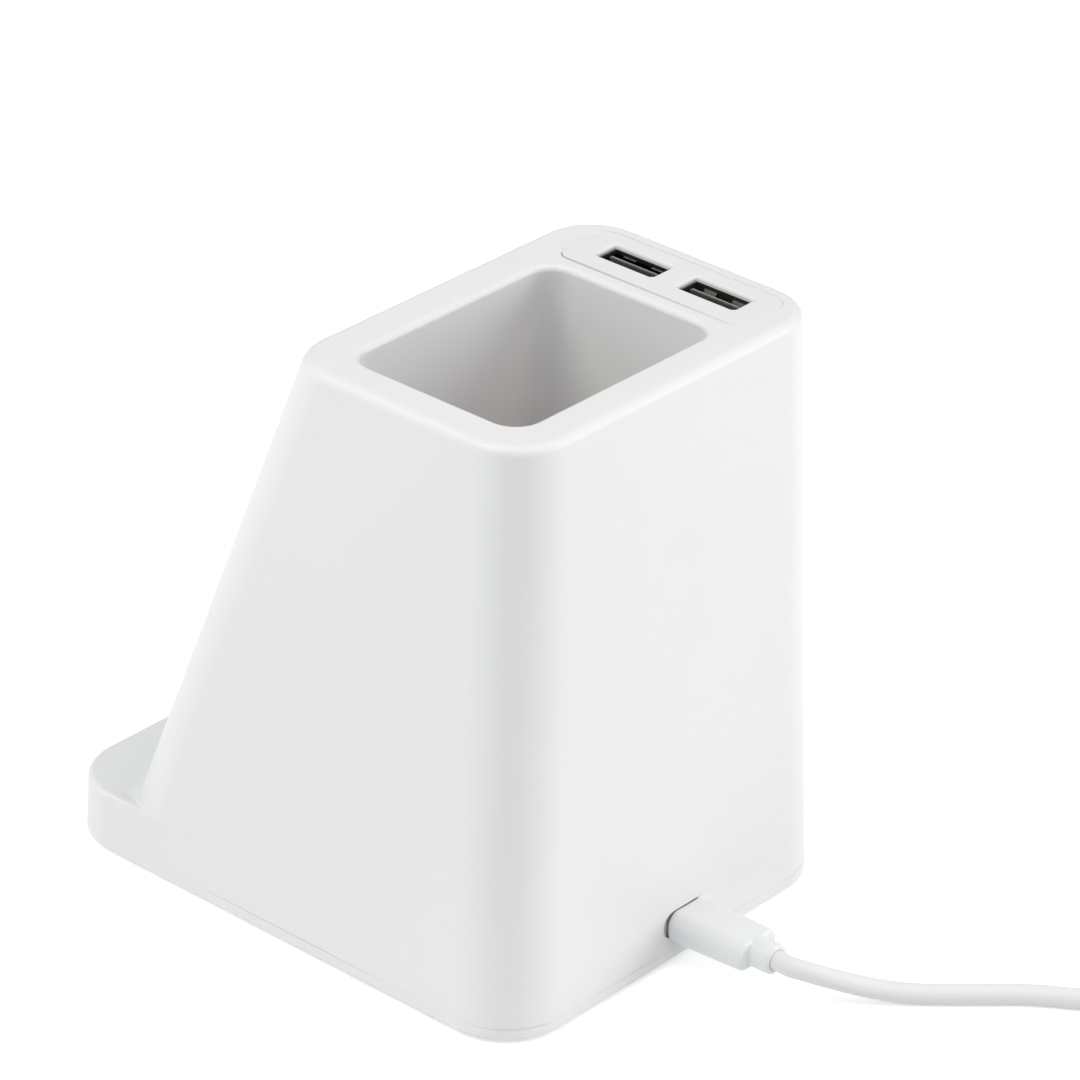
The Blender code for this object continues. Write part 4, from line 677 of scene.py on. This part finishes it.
# Geometry trees
class Recipe(Sheet):
    """A geometry tree with named inputs, run on an object and then made plain mesh."""

    def __init__(self, name, inputs):
        tree = bpy.data.node_groups.new(name, "GeometryNodeTree")
        super().__init__(tree)
        self.sockets = {}
        tree.interface.new_socket("Geometry", in_out="INPUT", socket_type="NodeSocketGeometry")
        for label, kind in inputs.items():
            made = tree.interface.new_socket(label, in_out="INPUT", socket_type=kind)
            self.sockets[label] = made.identifier
        tree.interface.new_socket("Geometry", in_out="OUTPUT", socket_type="NodeSocketGeometry")
        self.given = self.node("NodeGroupInput")

    def finish(self, geometry, coat):
        """Realizes the instances, sets the material and ends the tree."""
        real = self.node("GeometryNodeRealizeInstances", None, {0: geometry})[0]
        shaded = self.node("GeometryNodeSetShadeSmooth", None, {0: real})[0]
        coated = self.node("GeometryNodeSetMaterial", None, {0: shaded, "Material": coat})[0]
        end = self.tree.nodes.new("NodeGroupOutput")
        self.tree.links.new(coated.socket, end.inputs[0])
        return self

    def run(self, name, data, values, body):
        """Runs the tree on some mesh or curve and returns the plain mesh piece."""
        made = bpy.data.objects.new(name, data)
        bpy.context.scene.collection.objects.link(made)
        step = made.modifiers.new(name, "NODES")
        step.node_group = self.tree
        for label, value in values.items():
            step[self.sockets[label]] = value
        piece = settled(made)
        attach(piece, body)
        return piece


def line_data(name, points):
    """An open line of points, as a mesh of edges."""
    data = bpy.data.meshes.new(name)
    edges = [(i, i + 1) for i in range(len(points) - 1)]
    data.from_pydata([tuple(point) for point in points], edges, [])
    return data


def sleeve_recipe(name, coat):
    """A round cable or wire that follows a line."""
    made = Recipe(name, {"Radius": "NodeSocketFloat", "Sides": "NodeSocketInt"})
    line = made.node("GeometryNodeMeshToCurve", None, {0: made.given["Geometry"]})[0]
    sizes = {"Radius": made.given["Radius"], "Resolution": made.given["Sides"]}
    ring = made.node("GeometryNodeCurvePrimitiveCircle", None, sizes)[0]
    tube = made.node("GeometryNodeCurveToMesh", None, {0: line, "Profile Curve": ring, "Fill Caps": True})[0]
    return made.finish(tube, coat)


def repeat_recipe(name, coat):
    """One part set down at every point of the mesh that the tree runs on."""
    made = Recipe(name, {"Part": "NodeSocketObject"})
    part = made.node("GeometryNodeObjectInfo", None, {"Object": made.given["Part"]})["Geometry"]
    values = {"Points": made.given["Geometry"], "Instance": part}
    return made.finish(made.node("GeometryNodeInstanceOnPoints", None, values)[0], coat)


def repeated(name, part, places, coat, body):
    """A plain mesh of one part repeated at some places."""
    points = bpy.data.meshes.new(name)
    points.from_pydata([tuple(place) for place in places], [], [])
    piece = repeat_recipe(name, coat).run(name, points, {"Part": part}, body)
    bpy.data.objects.remove(part, do_unlink=True)
    return piece


def supply_cable():
    """The supply cable, in place of its three solids, and the points of its middle line."""
    path = cable_path()
    recipe = sleeve_recipe("cable_sleeve", cable_white)
    values = {"Radius": CABLE_RADIUS, "Sides": 24}
    cable = recipe.run("supply_cable", line_data("supply_cable", path), values, "supply_plug")
    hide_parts("cable_run", "cable_coil", "cable_tail")
    return cable, path


cable, path = supply_cable()

# The supply plug
GRIP_LOW_X = -0.0087
GRIP_HIGH_X = 0.0019
GRIP_HIGH_X_AT_PORT = 0.00225
GRIP_TOP = 0.01057
GRIP_TOP_AT_PORT = 0.01049
GRIP_LOW_AT_PORT = 0.00402
GRIP_LOW_AT_END = 0.00477
GRIP_START_Y = 0.05657
WALL_LEAN = 0.0348
GRIP_END_Y = 0.072744
GRIP_CORNER = 0.0026
GRIP_END_ROUND = 0.0008
GRIP_NOSE_Y = 0.05636
OPENING_MIDDLE = (-0.0026, 0.00802)
OPENING_SIZE = (0.0122, 0.0054)
OPENING_CORNER = 0.0026
NOSE_CLEARANCE = 0.00022
NOSE_STEP = 0.00020
NOSE_FIT = 0.00003
NOSE_SIDES = 96
NOSE_FULL_FROM = 0.45
NOSE_FULL_OVER = 0.15
EDGE_EASE = 0.0001


def grip_outline(y, inset=0.0):
    """The grip's section: it narrows a little away from the port, at its underside and on one side."""
    share = (y - GRIP_START_Y) / (GRIP_END_Y - GRIP_START_Y)
    low = GRIP_LOW_AT_PORT + (GRIP_LOW_AT_END - GRIP_LOW_AT_PORT) * share + inset
    side = GRIP_HIGH_X_AT_PORT + (GRIP_HIGH_X - GRIP_HIGH_X_AT_PORT) * share
    high = GRIP_TOP_AT_PORT + (GRIP_TOP - GRIP_TOP_AT_PORT) * min(1, 3 * share) - inset
    middle = ((GRIP_LOW_X + side) / 2, (low + high) / 2)
    return rounded_outline(middle, side - GRIP_LOW_X - 2 * inset, high - low, GRIP_CORNER - inset, 8)


def leaned(point, y, lean):
    """A point of a section, set at a place along the plug on a plane that leans back with height."""
    return Vector((point.x, y - lean * (point.y - GRIP_LOW_AT_PORT), point.y))


def grip_ring(y, inset=0.0, lean=0.0):
    return [leaned(point, y, lean) for point in grip_outline(y, inset)]


def reach(outline, middle, way):
    """How far an outline is from its middle one way."""
    for start, end in zip(outline, outline[1:] + outline[:1]):
        first = start - middle
        second = end - middle
        turn = way.cross(first), way.cross(second)
        if turn[0] <= 0 <= turn[1] and way.dot(first) > 0 and turn[1] - turn[0] > 1e-12:
            return way.dot(first.lerp(second, -turn[0] / (turn[1] - turn[0])))
    return 0.0


def nose_ring(y, inset):
    """The nose's section: inside the grip and the port's opening, and filling the opening on one side."""
    grip = grip_outline(GRIP_START_Y)
    opening = rounded_outline(OPENING_MIDDLE, *OPENING_SIZE, OPENING_CORNER, 8)
    middle = Vector((PLUG_AXIS.x, OPENING_MIDDLE[1]))
    ring = []
    for i in range(NOSE_SIDES):
        turn = 2 * math.pi * i / NOSE_SIDES
        way = Vector((math.cos(turn), math.sin(turn)))
        room = reach(opening, middle, way)
        loose = min(reach(grip, middle, way) - NOSE_STEP, room - NOSE_CLEARANCE)
        share = min(1, max(0, (-way.x - NOSE_FULL_FROM) / NOSE_FULL_OVER))
        length = loose + (room - NOSE_FIT - loose) * share * share * (3 - 2 * share) - inset
        ring.append(leaned(middle + way * length, y, WALL_LEAN))
    return ring


def plug_grip_shape():
    """The grip, flat against the port's wall and rounded at its far end."""
    rings = [grip_ring(GRIP_START_Y, EDGE_EASE, WALL_LEAN)]
    rings.append(grip_ring(GRIP_START_Y + EDGE_EASE, 0, WALL_LEAN))
    body_end = GRIP_END_Y - GRIP_END_ROUND
    for i in range(1, 6):
        rings.append(grip_ring(GRIP_START_Y + (body_end - GRIP_START_Y) * i / 6))
    for i in range(9):
        turn = math.pi / 2 * i / 8
        place = body_end + GRIP_END_ROUND * math.sin(turn)
        rings.append(grip_ring(place, GRIP_END_ROUND * (1 - math.cos(turn))))
    return lofted(rings)


def plug_nose_shape():
    """The short nose between the grip and the port's opening."""
    within_grip = nose_ring(GRIP_START_Y + 2 * EDGE_EASE, 0)
    return lofted([within_grip, nose_ring(GRIP_NOSE_Y + EDGE_EASE, 0), nose_ring(GRIP_NOSE_Y, EDGE_EASE)])


# The relief's section along the plug: place and radius in millimetres, and how far the bore's shift applies
RELIEF_PROFILE = (
    (72.64, 3.06, 0),
    (72.78, 3.01, 0),
    (72.90, 2.98, 0),
    (73.08, 2.96, 0),
    (73.40, 2.95, 0),
    (74.60, 2.94, 0),
    (76.00, 2.92, 0),
    (76.55, 2.88, 0),
    (76.82, 2.78, 0),
    (76.98, 2.60, 0),
    (77.04, 2.30, 0),
    (77.03, 2.09, 0.7),
    (76.95, 2.02, 1),
    (76.84, 1.98, 1),
    (76.78, 1.88, 1),
)
BORE_SHIFT = Vector((0.00004, 0, -0.00003))
RELIEF_SIDES = 64


def plug_relief_shape():
    """The collar that the cable leaves by: flared at the grip and rounded at its end."""
    rings = []
    for y, radius, shifted in RELIEF_PROFILE:
        middle = Vector((PLUG_AXIS.x, y * MM, PLUG_AXIS.z)) + BORE_SHIFT * shifted
        ring = []
        for i in range(RELIEF_SIDES):
            turn = 2 * math.pi * i / RELIEF_SIDES
            ring.append(middle + radius * MM * Vector((math.cos(turn), 0, math.sin(turn))))
        rings.append(ring)
    return lofted(rings)


# Seams, sockets and contacts
SEAM_SIZE = (0.089326, 0.113216)
SEAM_MIDDLE = (0, -0.00001)
SEAM_CORNER = 0.01295
SEAM_INSET = 0.00003
SEAM_DEPTH = 0.0009
SEAM_LOW = 0.002902
SEAM_HIGH = 0.003198
PANEL_MIDDLE = (-0.0299, 0.02554)
PANEL_SIZE = (0.014, 0.043072)
PANEL_CORNER = 0.0033
PANEL_SEAM_LOW = 0.1145
PANEL_SEAM_TOP = TOP_Z - 0.00012
SOCKET_X = -0.0306
SOCKET_YS = (0.016095, 0.0349815)
SOCKET_TOP = 0.1151
SOCKET_HALF_WIDTH = 0.00255
SOCKET_WALL = 0.0003
TONGUE_LOW = (-0.0305, -0.0052)
TONGUE_HIGH = (-0.02985, 0.0059)
TONGUE_TOP = 0.1149
TONGUE_BLOCK_HEIGHT = 0.0035
TONGUE_ROOT = 0.0001
TONGUE_RIM_WIDTH = 0.00025
TONGUE_RIM_INSET = 0.0002
TONGUE_RIM_HEIGHTS = (-0.0003, 0.00004)
FINGER_PLACES = (-0.00275, 0.0038)
FINGER_DROP = 0.00075
FINGER_WIDTH = 0.0028
FINGER_THICKNESS = 0.00012
# A finger's section: height and reach in millimetres, and share of its width
FINGER_PROFILE = (
    (0, 0.02, 1),
    (-0.5, 0.3, 1),
    (-1.1, 0.62, 0.95),
    (-1.7, 0.72, 0.9),
    (-2.5, 0.55, 0.85),
    (-3.6, 0.2, 0.8),
    (-4.4, 0.02, 0.8),
)
CONTACT_PLACES_MM = (-3.5, -1, 1, 3.5)
CONTACT_DROP = 0.0011
CONTACT_OUT = 0.00008
CONTACT_HALF_WIDTH = 0.0005
CONTACT_LENGTH = 0.009
STRIP_EDGE = 0.00003
PORT_RIM_CLEARANCE = 0.0001
PORT_RIM_DEPTHS = (0.0005, 0.00005)
PORT_CONTACTS = 12
PORT_CONTACT_PITCH = 0.0005
PORT_CONTACT_HALF_WIDTH = 0.00013
PORT_CONTACT_LENGTH = 0.0034
PORT_CONTACT_END_Y = 0.0542
PORT_TONGUE_HALF = 0.00036


def band(name, outer, inner, low, high, coat, upright=False):
    """A thin closed band between two outlines, lying flat or standing upright across the Y axis."""
    rings = []
    for outline, level in ((outer, low), (outer, high), (inner, high), (inner, low)):
        places = [(point.x, level, point.y) if upright else (point.x, point.y, level) for point in outline]
        rings.append([Vector(place) for place in places])
    piece = finished(name, lofted(rings, round_again=True), coat)
    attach(piece, "charger")
    return piece


def seam_band(name, middle, size, corner, inner_inset, low, high, coat):
    """A level band round a rectangle with round corners, which shows as the line of a seam."""
    outer = rounded_outline(middle, *size, corner, 12)
    inner = rounded_outline(middle, *[side - 2 * inner_inset for side in size], corner - inner_inset, 12)
    return band(name, outer, inner, low, high, coat)


def port_rim():
    """The pressed metal rim round the receptacle, just inside the opening."""
    size = [side - 2 * PORT_RIM_CLEARANCE for side in OPENING_SIZE]
    outer = rounded_outline(OPENING_MIDDLE, *size, OPENING_CORNER - PORT_RIM_CLEARANCE, 8)
    low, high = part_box("usb_c_shell")
    middle = ((low[0] + high[0]) / 2, (low[2] + high[2]) / 2)
    size = [high[0] - low[0] + PORT_RIM_CLEARANCE, high[2] - low[2] + PORT_RIM_CLEARANCE]
    inner = rounded_outline(middle, *size, size[1] / 2 - WELD, 8)
    start, end = (high[1] - depth for depth in PORT_RIM_DEPTHS)
    return band("port_rim", outer, inner, start, end, port_steel, upright=True)


def socket_tongues():
    """Each socket's contact block with its upright tongue, and a pale strip along the tongue's top edge that
    is a painted highlight.
    """
    for i, y in enumerate(SOCKET_YS):
        node = f"usb_a_tongue_{i + 1}"
        low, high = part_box(node)
        shape = box_shape(low, (high[0], high[1], low[2] + TONGUE_BLOCK_HEIGHT))
        root = low[2] + TONGUE_BLOCK_HEIGHT - TONGUE_ROOT
        tip = (TONGUE_HIGH[0], y + TONGUE_HIGH[1], TONGUE_TOP)
        box_shape((TONGUE_LOW[0], y + TONGUE_LOW[1], root), tip, shape)
        standing_for(finished(f"socket_tongue_{i + 1}", shape, tongue_grey, 32, STRIP_EDGE), node)
    # a pale strip on the tongue's top edge: a painted highlight
    rim = strip_shape(
        (0, TONGUE_LOW[1] + TONGUE_RIM_INSET, TONGUE_RIM_HEIGHTS[0]),
        (TONGUE_RIM_WIDTH, TONGUE_HIGH[1] - TONGUE_RIM_INSET, TONGUE_RIM_HEIGHTS[1]),
    )
    places = [(TONGUE_LOW[0] - SINK, y, TONGUE_TOP) for y in SOCKET_YS]
    return repeated("tongue_rims", rim, places, tongue_rim, "charger")


def finger_shape():
    """One spring finger of a socket: a tab that bows out from the wall at x = 0 and back."""
    rings = []
    for height, out, share in FINGER_PROFILE:
        half = FINGER_WIDTH * share / 2
        front = out * MM + FINGER_THICKNESS
        back = out * MM - SINK
        corners = ((back, -half), (front, -half), (front, half), (back, half))
        rings.append([Vector((x, y, height * MM)) for x, y in corners])
    return finished("finger", lofted(rings), None, 50)


def strip_shape(low, high):
    """A small box with eased edges, for a contact or a rim."""
    return finished("strip", box_shape(low, high), None, 30, STRIP_EDGE)


def socket_details():
    """The spring fingers on each socket's far wall and the contacts on its tongue."""
    wall = SOCKET_X - SOCKET_HALF_WIDTH + SOCKET_WALL
    places = [(wall, y + aside, SOCKET_TOP - FINGER_DROP) for y in SOCKET_YS for aside in FINGER_PLACES]
    repeated("socket_fingers", finger_shape(), places, finger_steel, "charger")
    strip = strip_shape((-CONTACT_OUT, -CONTACT_HALF_WIDTH, -CONTACT_LENGTH), (SINK, CONTACT_HALF_WIDTH, 0))
    places = []
    for y in SOCKET_YS:
        places += [(TONGUE_LOW[0], y + place * MM, SOCKET_TOP - CONTACT_DROP) for place in CONTACT_PLACES_MM]
    repeated("socket_contacts", strip, places, gold, "charger")


def port_contacts():
    """The fine contacts along the top and the underside of the port's tongue."""
    half = PORT_CONTACT_HALF_WIDTH
    strip = strip_shape((-half, -PORT_CONTACT_LENGTH, -2 * SINK), (half, 0, 2 * SINK))
    places = []
    for side in (-1, 1):
        height = PLUG_AXIS.z + side * PORT_TONGUE_HALF
        for i in range(PORT_CONTACTS):
            aside = (i - (PORT_CONTACTS - 1) / 2) * PORT_CONTACT_PITCH
            places.append((PLUG_AXIS.x + aside, PORT_CONTACT_END_Y, height))
    return repeated("port_contacts", strip, places, gold, "charger")


# Screws and feet: each section gives radius and height in millimetres, from the lowest face up
AXIS_HAIR = 0.001
SCREW_HEAD = ((0.0, 0.0), (1.5, 0.0), (2.1, 0.12), (2.4, 0.4), (2.5, 0.75), (2.5, 1.5), (1.3, 1.5))
SCREW_TIP = ((0.7, 8.6), (0.0, 8.7))
THREAD_START = 1.7
THREAD_PITCH = 0.55
THREAD_TURNS = 12
THREAD_ROOT = 1.04
THREAD_CREST = 1.3
CROSS_REACH = 0.0014
CROSS_HALF_WIDTH = 0.00032
CROSS_HEIGHTS = (-0.001, 0.00095)
FOOT_PROFILE = (
    (0.0, 0.0),
    (2.0, 0.0),
    (2.08, 0.16),
    (2.52, 0.16),
    (2.6, 0.0),
    (3.4, 0.0),
    (3.48, 0.16),
    (3.92, 0.16),
    (4.0, 0.0),
    (4.55, 0.0),
    (4.82, 0.08),
    (4.96, 0.24),
    (5.0, 0.45),
    (5.0, 1.2),
    (0.0, 1.2),
)


def in_metres(profile):
    """A section in metres, with its end points a hair off the axis so that each ring has a size."""
    return [(max(radius, AXIS_HAIR) * MM, height * MM) for radius, height in profile]


def screw_shape():
    """A screw standing on its head: a pan head with a cross recess in its face, and a threaded shank."""
    profile = [*SCREW_HEAD]
    for i in range(THREAD_TURNS):
        height = THREAD_START + i * THREAD_PITCH
        profile += [(THREAD_ROOT, height), (THREAD_CREST, height + 0.2)]
        profile += [(THREAD_CREST, height + 0.28), (THREAD_ROOT, height + 0.5)]
    shape = turned_shape(in_metres([*profile, *SCREW_TIP]), 32)
    outline = []
    for i in range(4):
        way = heading(i * math.pi / 2)
        side = heading((i + 1) * math.pi / 2)
        outline.append(way * CROSS_REACH - side * CROSS_HALF_WIDTH)
        outline.append(way * CROSS_REACH + side * CROSS_HALF_WIDTH)
        outline.append(way * CROSS_HALF_WIDTH + side * CROSS_HALF_WIDTH)
    cross = lofted([[Vector((point.x, point.y, height)) for point in outline] for height in CROSS_HEIGHTS])
    return finished("cover_screw", shape, None, 32, 0.0, cross)


def foot_shape():
    """A round rubber foot with two shallow grip rings in its tread."""
    return finished("foot", turned_shape(in_metres(FOOT_PROFILE), 72), None, 28)


def set_in_place(name, kind, part, coat):
    """Four equal parts, each set down at the middle of the underside of the solid that it stands for."""
    names = [f"{kind}_{i}" for i in (1, 2, 3, 4)]
    places = []
    for node in names:
        low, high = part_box(node)
        places.append(((low[0] + high[0]) / 2, (low[1] + high[1]) / 2, low[2]))
    return standing_for(repeated(name, part, places, coat, "charger"), *names)


# The charging coil
WIRE_RADIUS = 0.00058
COIL_TURNS = 10
COIL_INNER = 0.0109
COIL_OUTER = 0.0223
COIL_STEPS = 40


def coil_winding():
    """Ten turns of covered wire laid in a flat spiral, in the place of the plain ring."""
    data = NODES["charging_coil"].data
    widest = max(data.polygons, key=lambda face: face.area)
    out = widest.normal.copy()
    if out.y > 0:
        out.negate()
    low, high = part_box("charging_coil")
    middle = (Vector(low) + Vector(high)) / 2
    across = Vector((1, 0, 0))
    along = out.cross(across).normalized()
    points = []
    steps = COIL_TURNS * COIL_STEPS
    for i in range(steps + 1):
        turn = 2 * math.pi * COIL_TURNS * i / steps - math.pi / 2
        radius = COIL_INNER + (COIL_OUTER - COIL_INNER) * i / steps
        points.append(middle + radius * (across * math.cos(turn) + along * math.sin(turn)))
    recipe = sleeve_recipe("coil_wire", enamel)
    values = {"Radius": WIRE_RADIUS, "Sides": 10}
    winding = recipe.run("coil_winding", line_data("coil_winding", points), values, "charger")
    return standing_for(winding, "charging_coil")


# The far plug
FAR_SHELL_WALL = 0.0004
FAR_SHELL_CORNER = 0.0006
WINDOW_PLACE = 0.0029
WINDOW_HALF_WIDTH = 0.00125
WINDOW_ENDS = (0.0046, 0.0068)
FAR_CONTACT_PLACES_MM = (-3.5, -1.1, 1.1, 3.5)
FAR_CONTACT_START = 0.0004
FAR_CONTACT_LENGTH = 0.0085
FAR_CONTACT_HALF_WIDTH = 0.0006
FAR_CONTACT_OUT = 0.00007


def far_shell():
    """The far plug's steel shell, with its two square windows."""
    low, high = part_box("usb_a_plug_shell")
    middle = ((low[1] + high[1]) / 2, (low[2] + high[2]) / 2)
    size = (high[1] - low[1], high[2] - low[2])
    rings = []
    for inset, x in ((0, low[0]), (0, high[0]), (FAR_SHELL_WALL, high[0]), (FAR_SHELL_WALL, low[0])):
        width, height = (side - 2 * inset for side in size)
        outline = rounded_outline(middle, width, height, FAR_SHELL_CORNER - inset, 4)
        rings.append([Vector((x, point.x, point.y)) for point in outline])
    windows = bmesh.new()
    for side in (-1, 1):
        y = middle[0] + side * WINDOW_PLACE
        start = (low[0] + WINDOW_ENDS[0], y - WINDOW_HALF_WIDTH, middle[1])
        box_shape(start, (low[0] + WINDOW_ENDS[1], y + WINDOW_HALF_WIDTH, high[2] + MM), windows)
    shell = finished("far_plug_shell", lofted(rings, round_again=True), steel, 32, 0.0, windows)
    return standing_for(shell, "usb_a_plug_shell")


def far_contacts():
    """The four contacts on the far plug's insert."""
    low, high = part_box("usb_a_plug_insert")
    half = FAR_CONTACT_HALF_WIDTH
    strip = strip_shape((-FAR_CONTACT_LENGTH, -half, -SINK), (0, half, FAR_CONTACT_OUT))
    middle = (low[1] + high[1]) / 2
    start = high[0] - FAR_CONTACT_START
    places = [(start, middle + place * MM, high[2]) for place in FAR_CONTACT_PLACES_MM]
    return repeated("far_plug_contacts", strip, places, gold, "supply_plug")


# Finer copies of the moulded and pressed pieces
refined("housing_shell", "housing", white_shell)
refined("base_tray", "base_cover", tray_white)
refined("outlet_panel", "usb_panel", panel_white, 32, 0.00025)
size = [side - 2 * SEAM_INSET for side in SEAM_SIZE]
corner = SEAM_CORNER - SEAM_INSET
seam_band("base_seam", SEAM_MIDDLE, size, corner, SEAM_DEPTH, SEAM_LOW, SEAM_HIGH, seam_white)
size = [side + 2 * (GAP - SINK) for side in PANEL_SIZE]
corner = PANEL_CORNER + GAP
seam_band("panel_seam", PANEL_MIDDLE, size, corner, GAP - 2 * SINK, PANEL_SEAM_LOW, PANEL_SEAM_TOP, seam_grey)
for i in (1, 2):
    refined(f"socket_shell_{i}", f"usb_a_shell_{i}", socket_steel, 32, 0.00006)
socket_tongues()
socket_details()
port_rim()
refined("port_shell", "usb_c_shell", port_steel)
refined("port_tongue", "usb_c_tongue", contact_block)
port_contacts()
plug_grip = standing_for(finished("plug_grip", plug_grip_shape(), plug_white), "usb_c_plug_grip")
plug_nose = finished("plug_nose", plug_nose_shape(), plug_white)
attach(plug_nose, "supply_plug")
plug_relief = standing_for(finished("plug_relief", plug_relief_shape(), plug_white, 40), "usb_c_plug_relief")
plug_shell = refined("plug_shell", "usb_c_plug_shell", steel)
far_grip = refined("far_plug_grip", "usb_a_plug_grip", plug_white)
far_relief = refined("far_plug_relief", "usb_a_plug_relief", plug_white)
far_steel = far_shell()
far_gold = far_contacts()
set_in_place("cover_screws", "cover_screw", screw_shape(), steel)
set_in_place("feet", "foot", foot_shape(), rubber)
coil_winding()

coat_nodes(laminate, "usb_board", "main_board")
coat_nodes(resin, "controller_chip", "driver_chip")
coat_nodes(inductor_grey, "power_inductor")
coat_nodes(sleeve, "capacitor_1", "capacitor_2")
coat_nodes(enamel, "coil_lead_1", "coil_lead_2")
coat_nodes(ferrite, "ferrite_sheet")
coat_nodes(carrier_black, "coil_carrier")
coat_nodes(lead_red, "usb_lead_1", "usb_lead_2")
coat_nodes(steel, *[name for name in NODES if "screw" in name and "cover" not in name])
coat_nodes(plug_white, "usb_a_plug_insert")

length = sum((end - start).length for start, end in zip(path, path[1:]))


# Floor, backdrop and lights
def studio_white():
    """White to the camera and in reflections, and a plain pale surface that keeps shadows."""
    made = Finish("studio_white")
    rays = made.node("ShaderNodeLightPath")
    seen = (rays["Is Camera Ray"] + rays["Is Glossy Ray"] + rays["Is Transmission Ray"]).held()
    made.set(
        Base_Color=(0.85, 0.85, 0.85),
        Roughness=0.9,
        Specular_IOR_Level=0.0,
        Emission_Color=made.mix(seen, (0, 0, 0), (1, 1, 1)),
        Emission_Strength=0.5,
    )
    return made.material


def floor():
    """The table under the object, which keeps its shadow."""
    work = bmesh.new()
    bmesh.ops.create_grid(work, x_segments=8, y_segments=8, size=2.5)
    made = add_mesh("floor", mesh_of("floor", work), studio_white())


def area_light(name, place, target, size, power, colour):
    """A soft box turned towards a target."""
    data = bpy.data.lights.new(name, "AREA")
    data.shape = "RECTANGLE"
    data.size, data.size_y = size
    data.energy = power
    data.color = colour
    made = bpy.data.objects.new(name, data)
    way = Vector(place) - Vector(target)
    made.matrix_world = Matrix.Translation(place) @ way.to_track_quat("Z", "Y").to_matrix().to_4x4()
    bpy.context.scene.collection.objects.link(made)


def world(fill):
    """An even fill light, white where the camera sees it."""
    made = bpy.data.worlds.new("studio")
    made.use_nodes = True
    sheet = Sheet(made.node_tree)
    ground = made.node_tree.nodes["Background"]
    rays = sheet.node("ShaderNodeLightPath")
    seen = (rays["Is Camera Ray"] + rays["Is Transmission Ray"]).held()
    colour = sheet.mix(seen, fill, (1, 1, 1))
    made.node_tree.links.new(colour.socket, ground.inputs["Color"])
    bpy.context.scene.world = made


floor()
world((0.297, 0.315, 0.405))
middle = Vector((0, 0.01, 0.06))
distance = 1.3
left = middle + distance * Vector((0.66, -0.75, 0.25))
right = middle + distance * Vector((-0.66, 0.75, 0.25))
area_light("left_box", left, middle, (0.6, 0.9), 2.43, (1.0, 0.97, 0.824))
area_light("right_box", right, middle, (0.6, 0.9), 8.37, (0.942, 1.0, 0.902))
area_light("rear_top_box", (-0.1, 0.8, 1.4), middle, (1.0, 1.0), 5.99, (1.0, 0.818, 0.681))
area_light("front_top_box", (0.8, -0.3, 1.4), middle, (1.0, 1.0), 13.56, (0.979, 1.0, 0.863))

bpy.context.scene.view_settings.view_transform = "Standard"
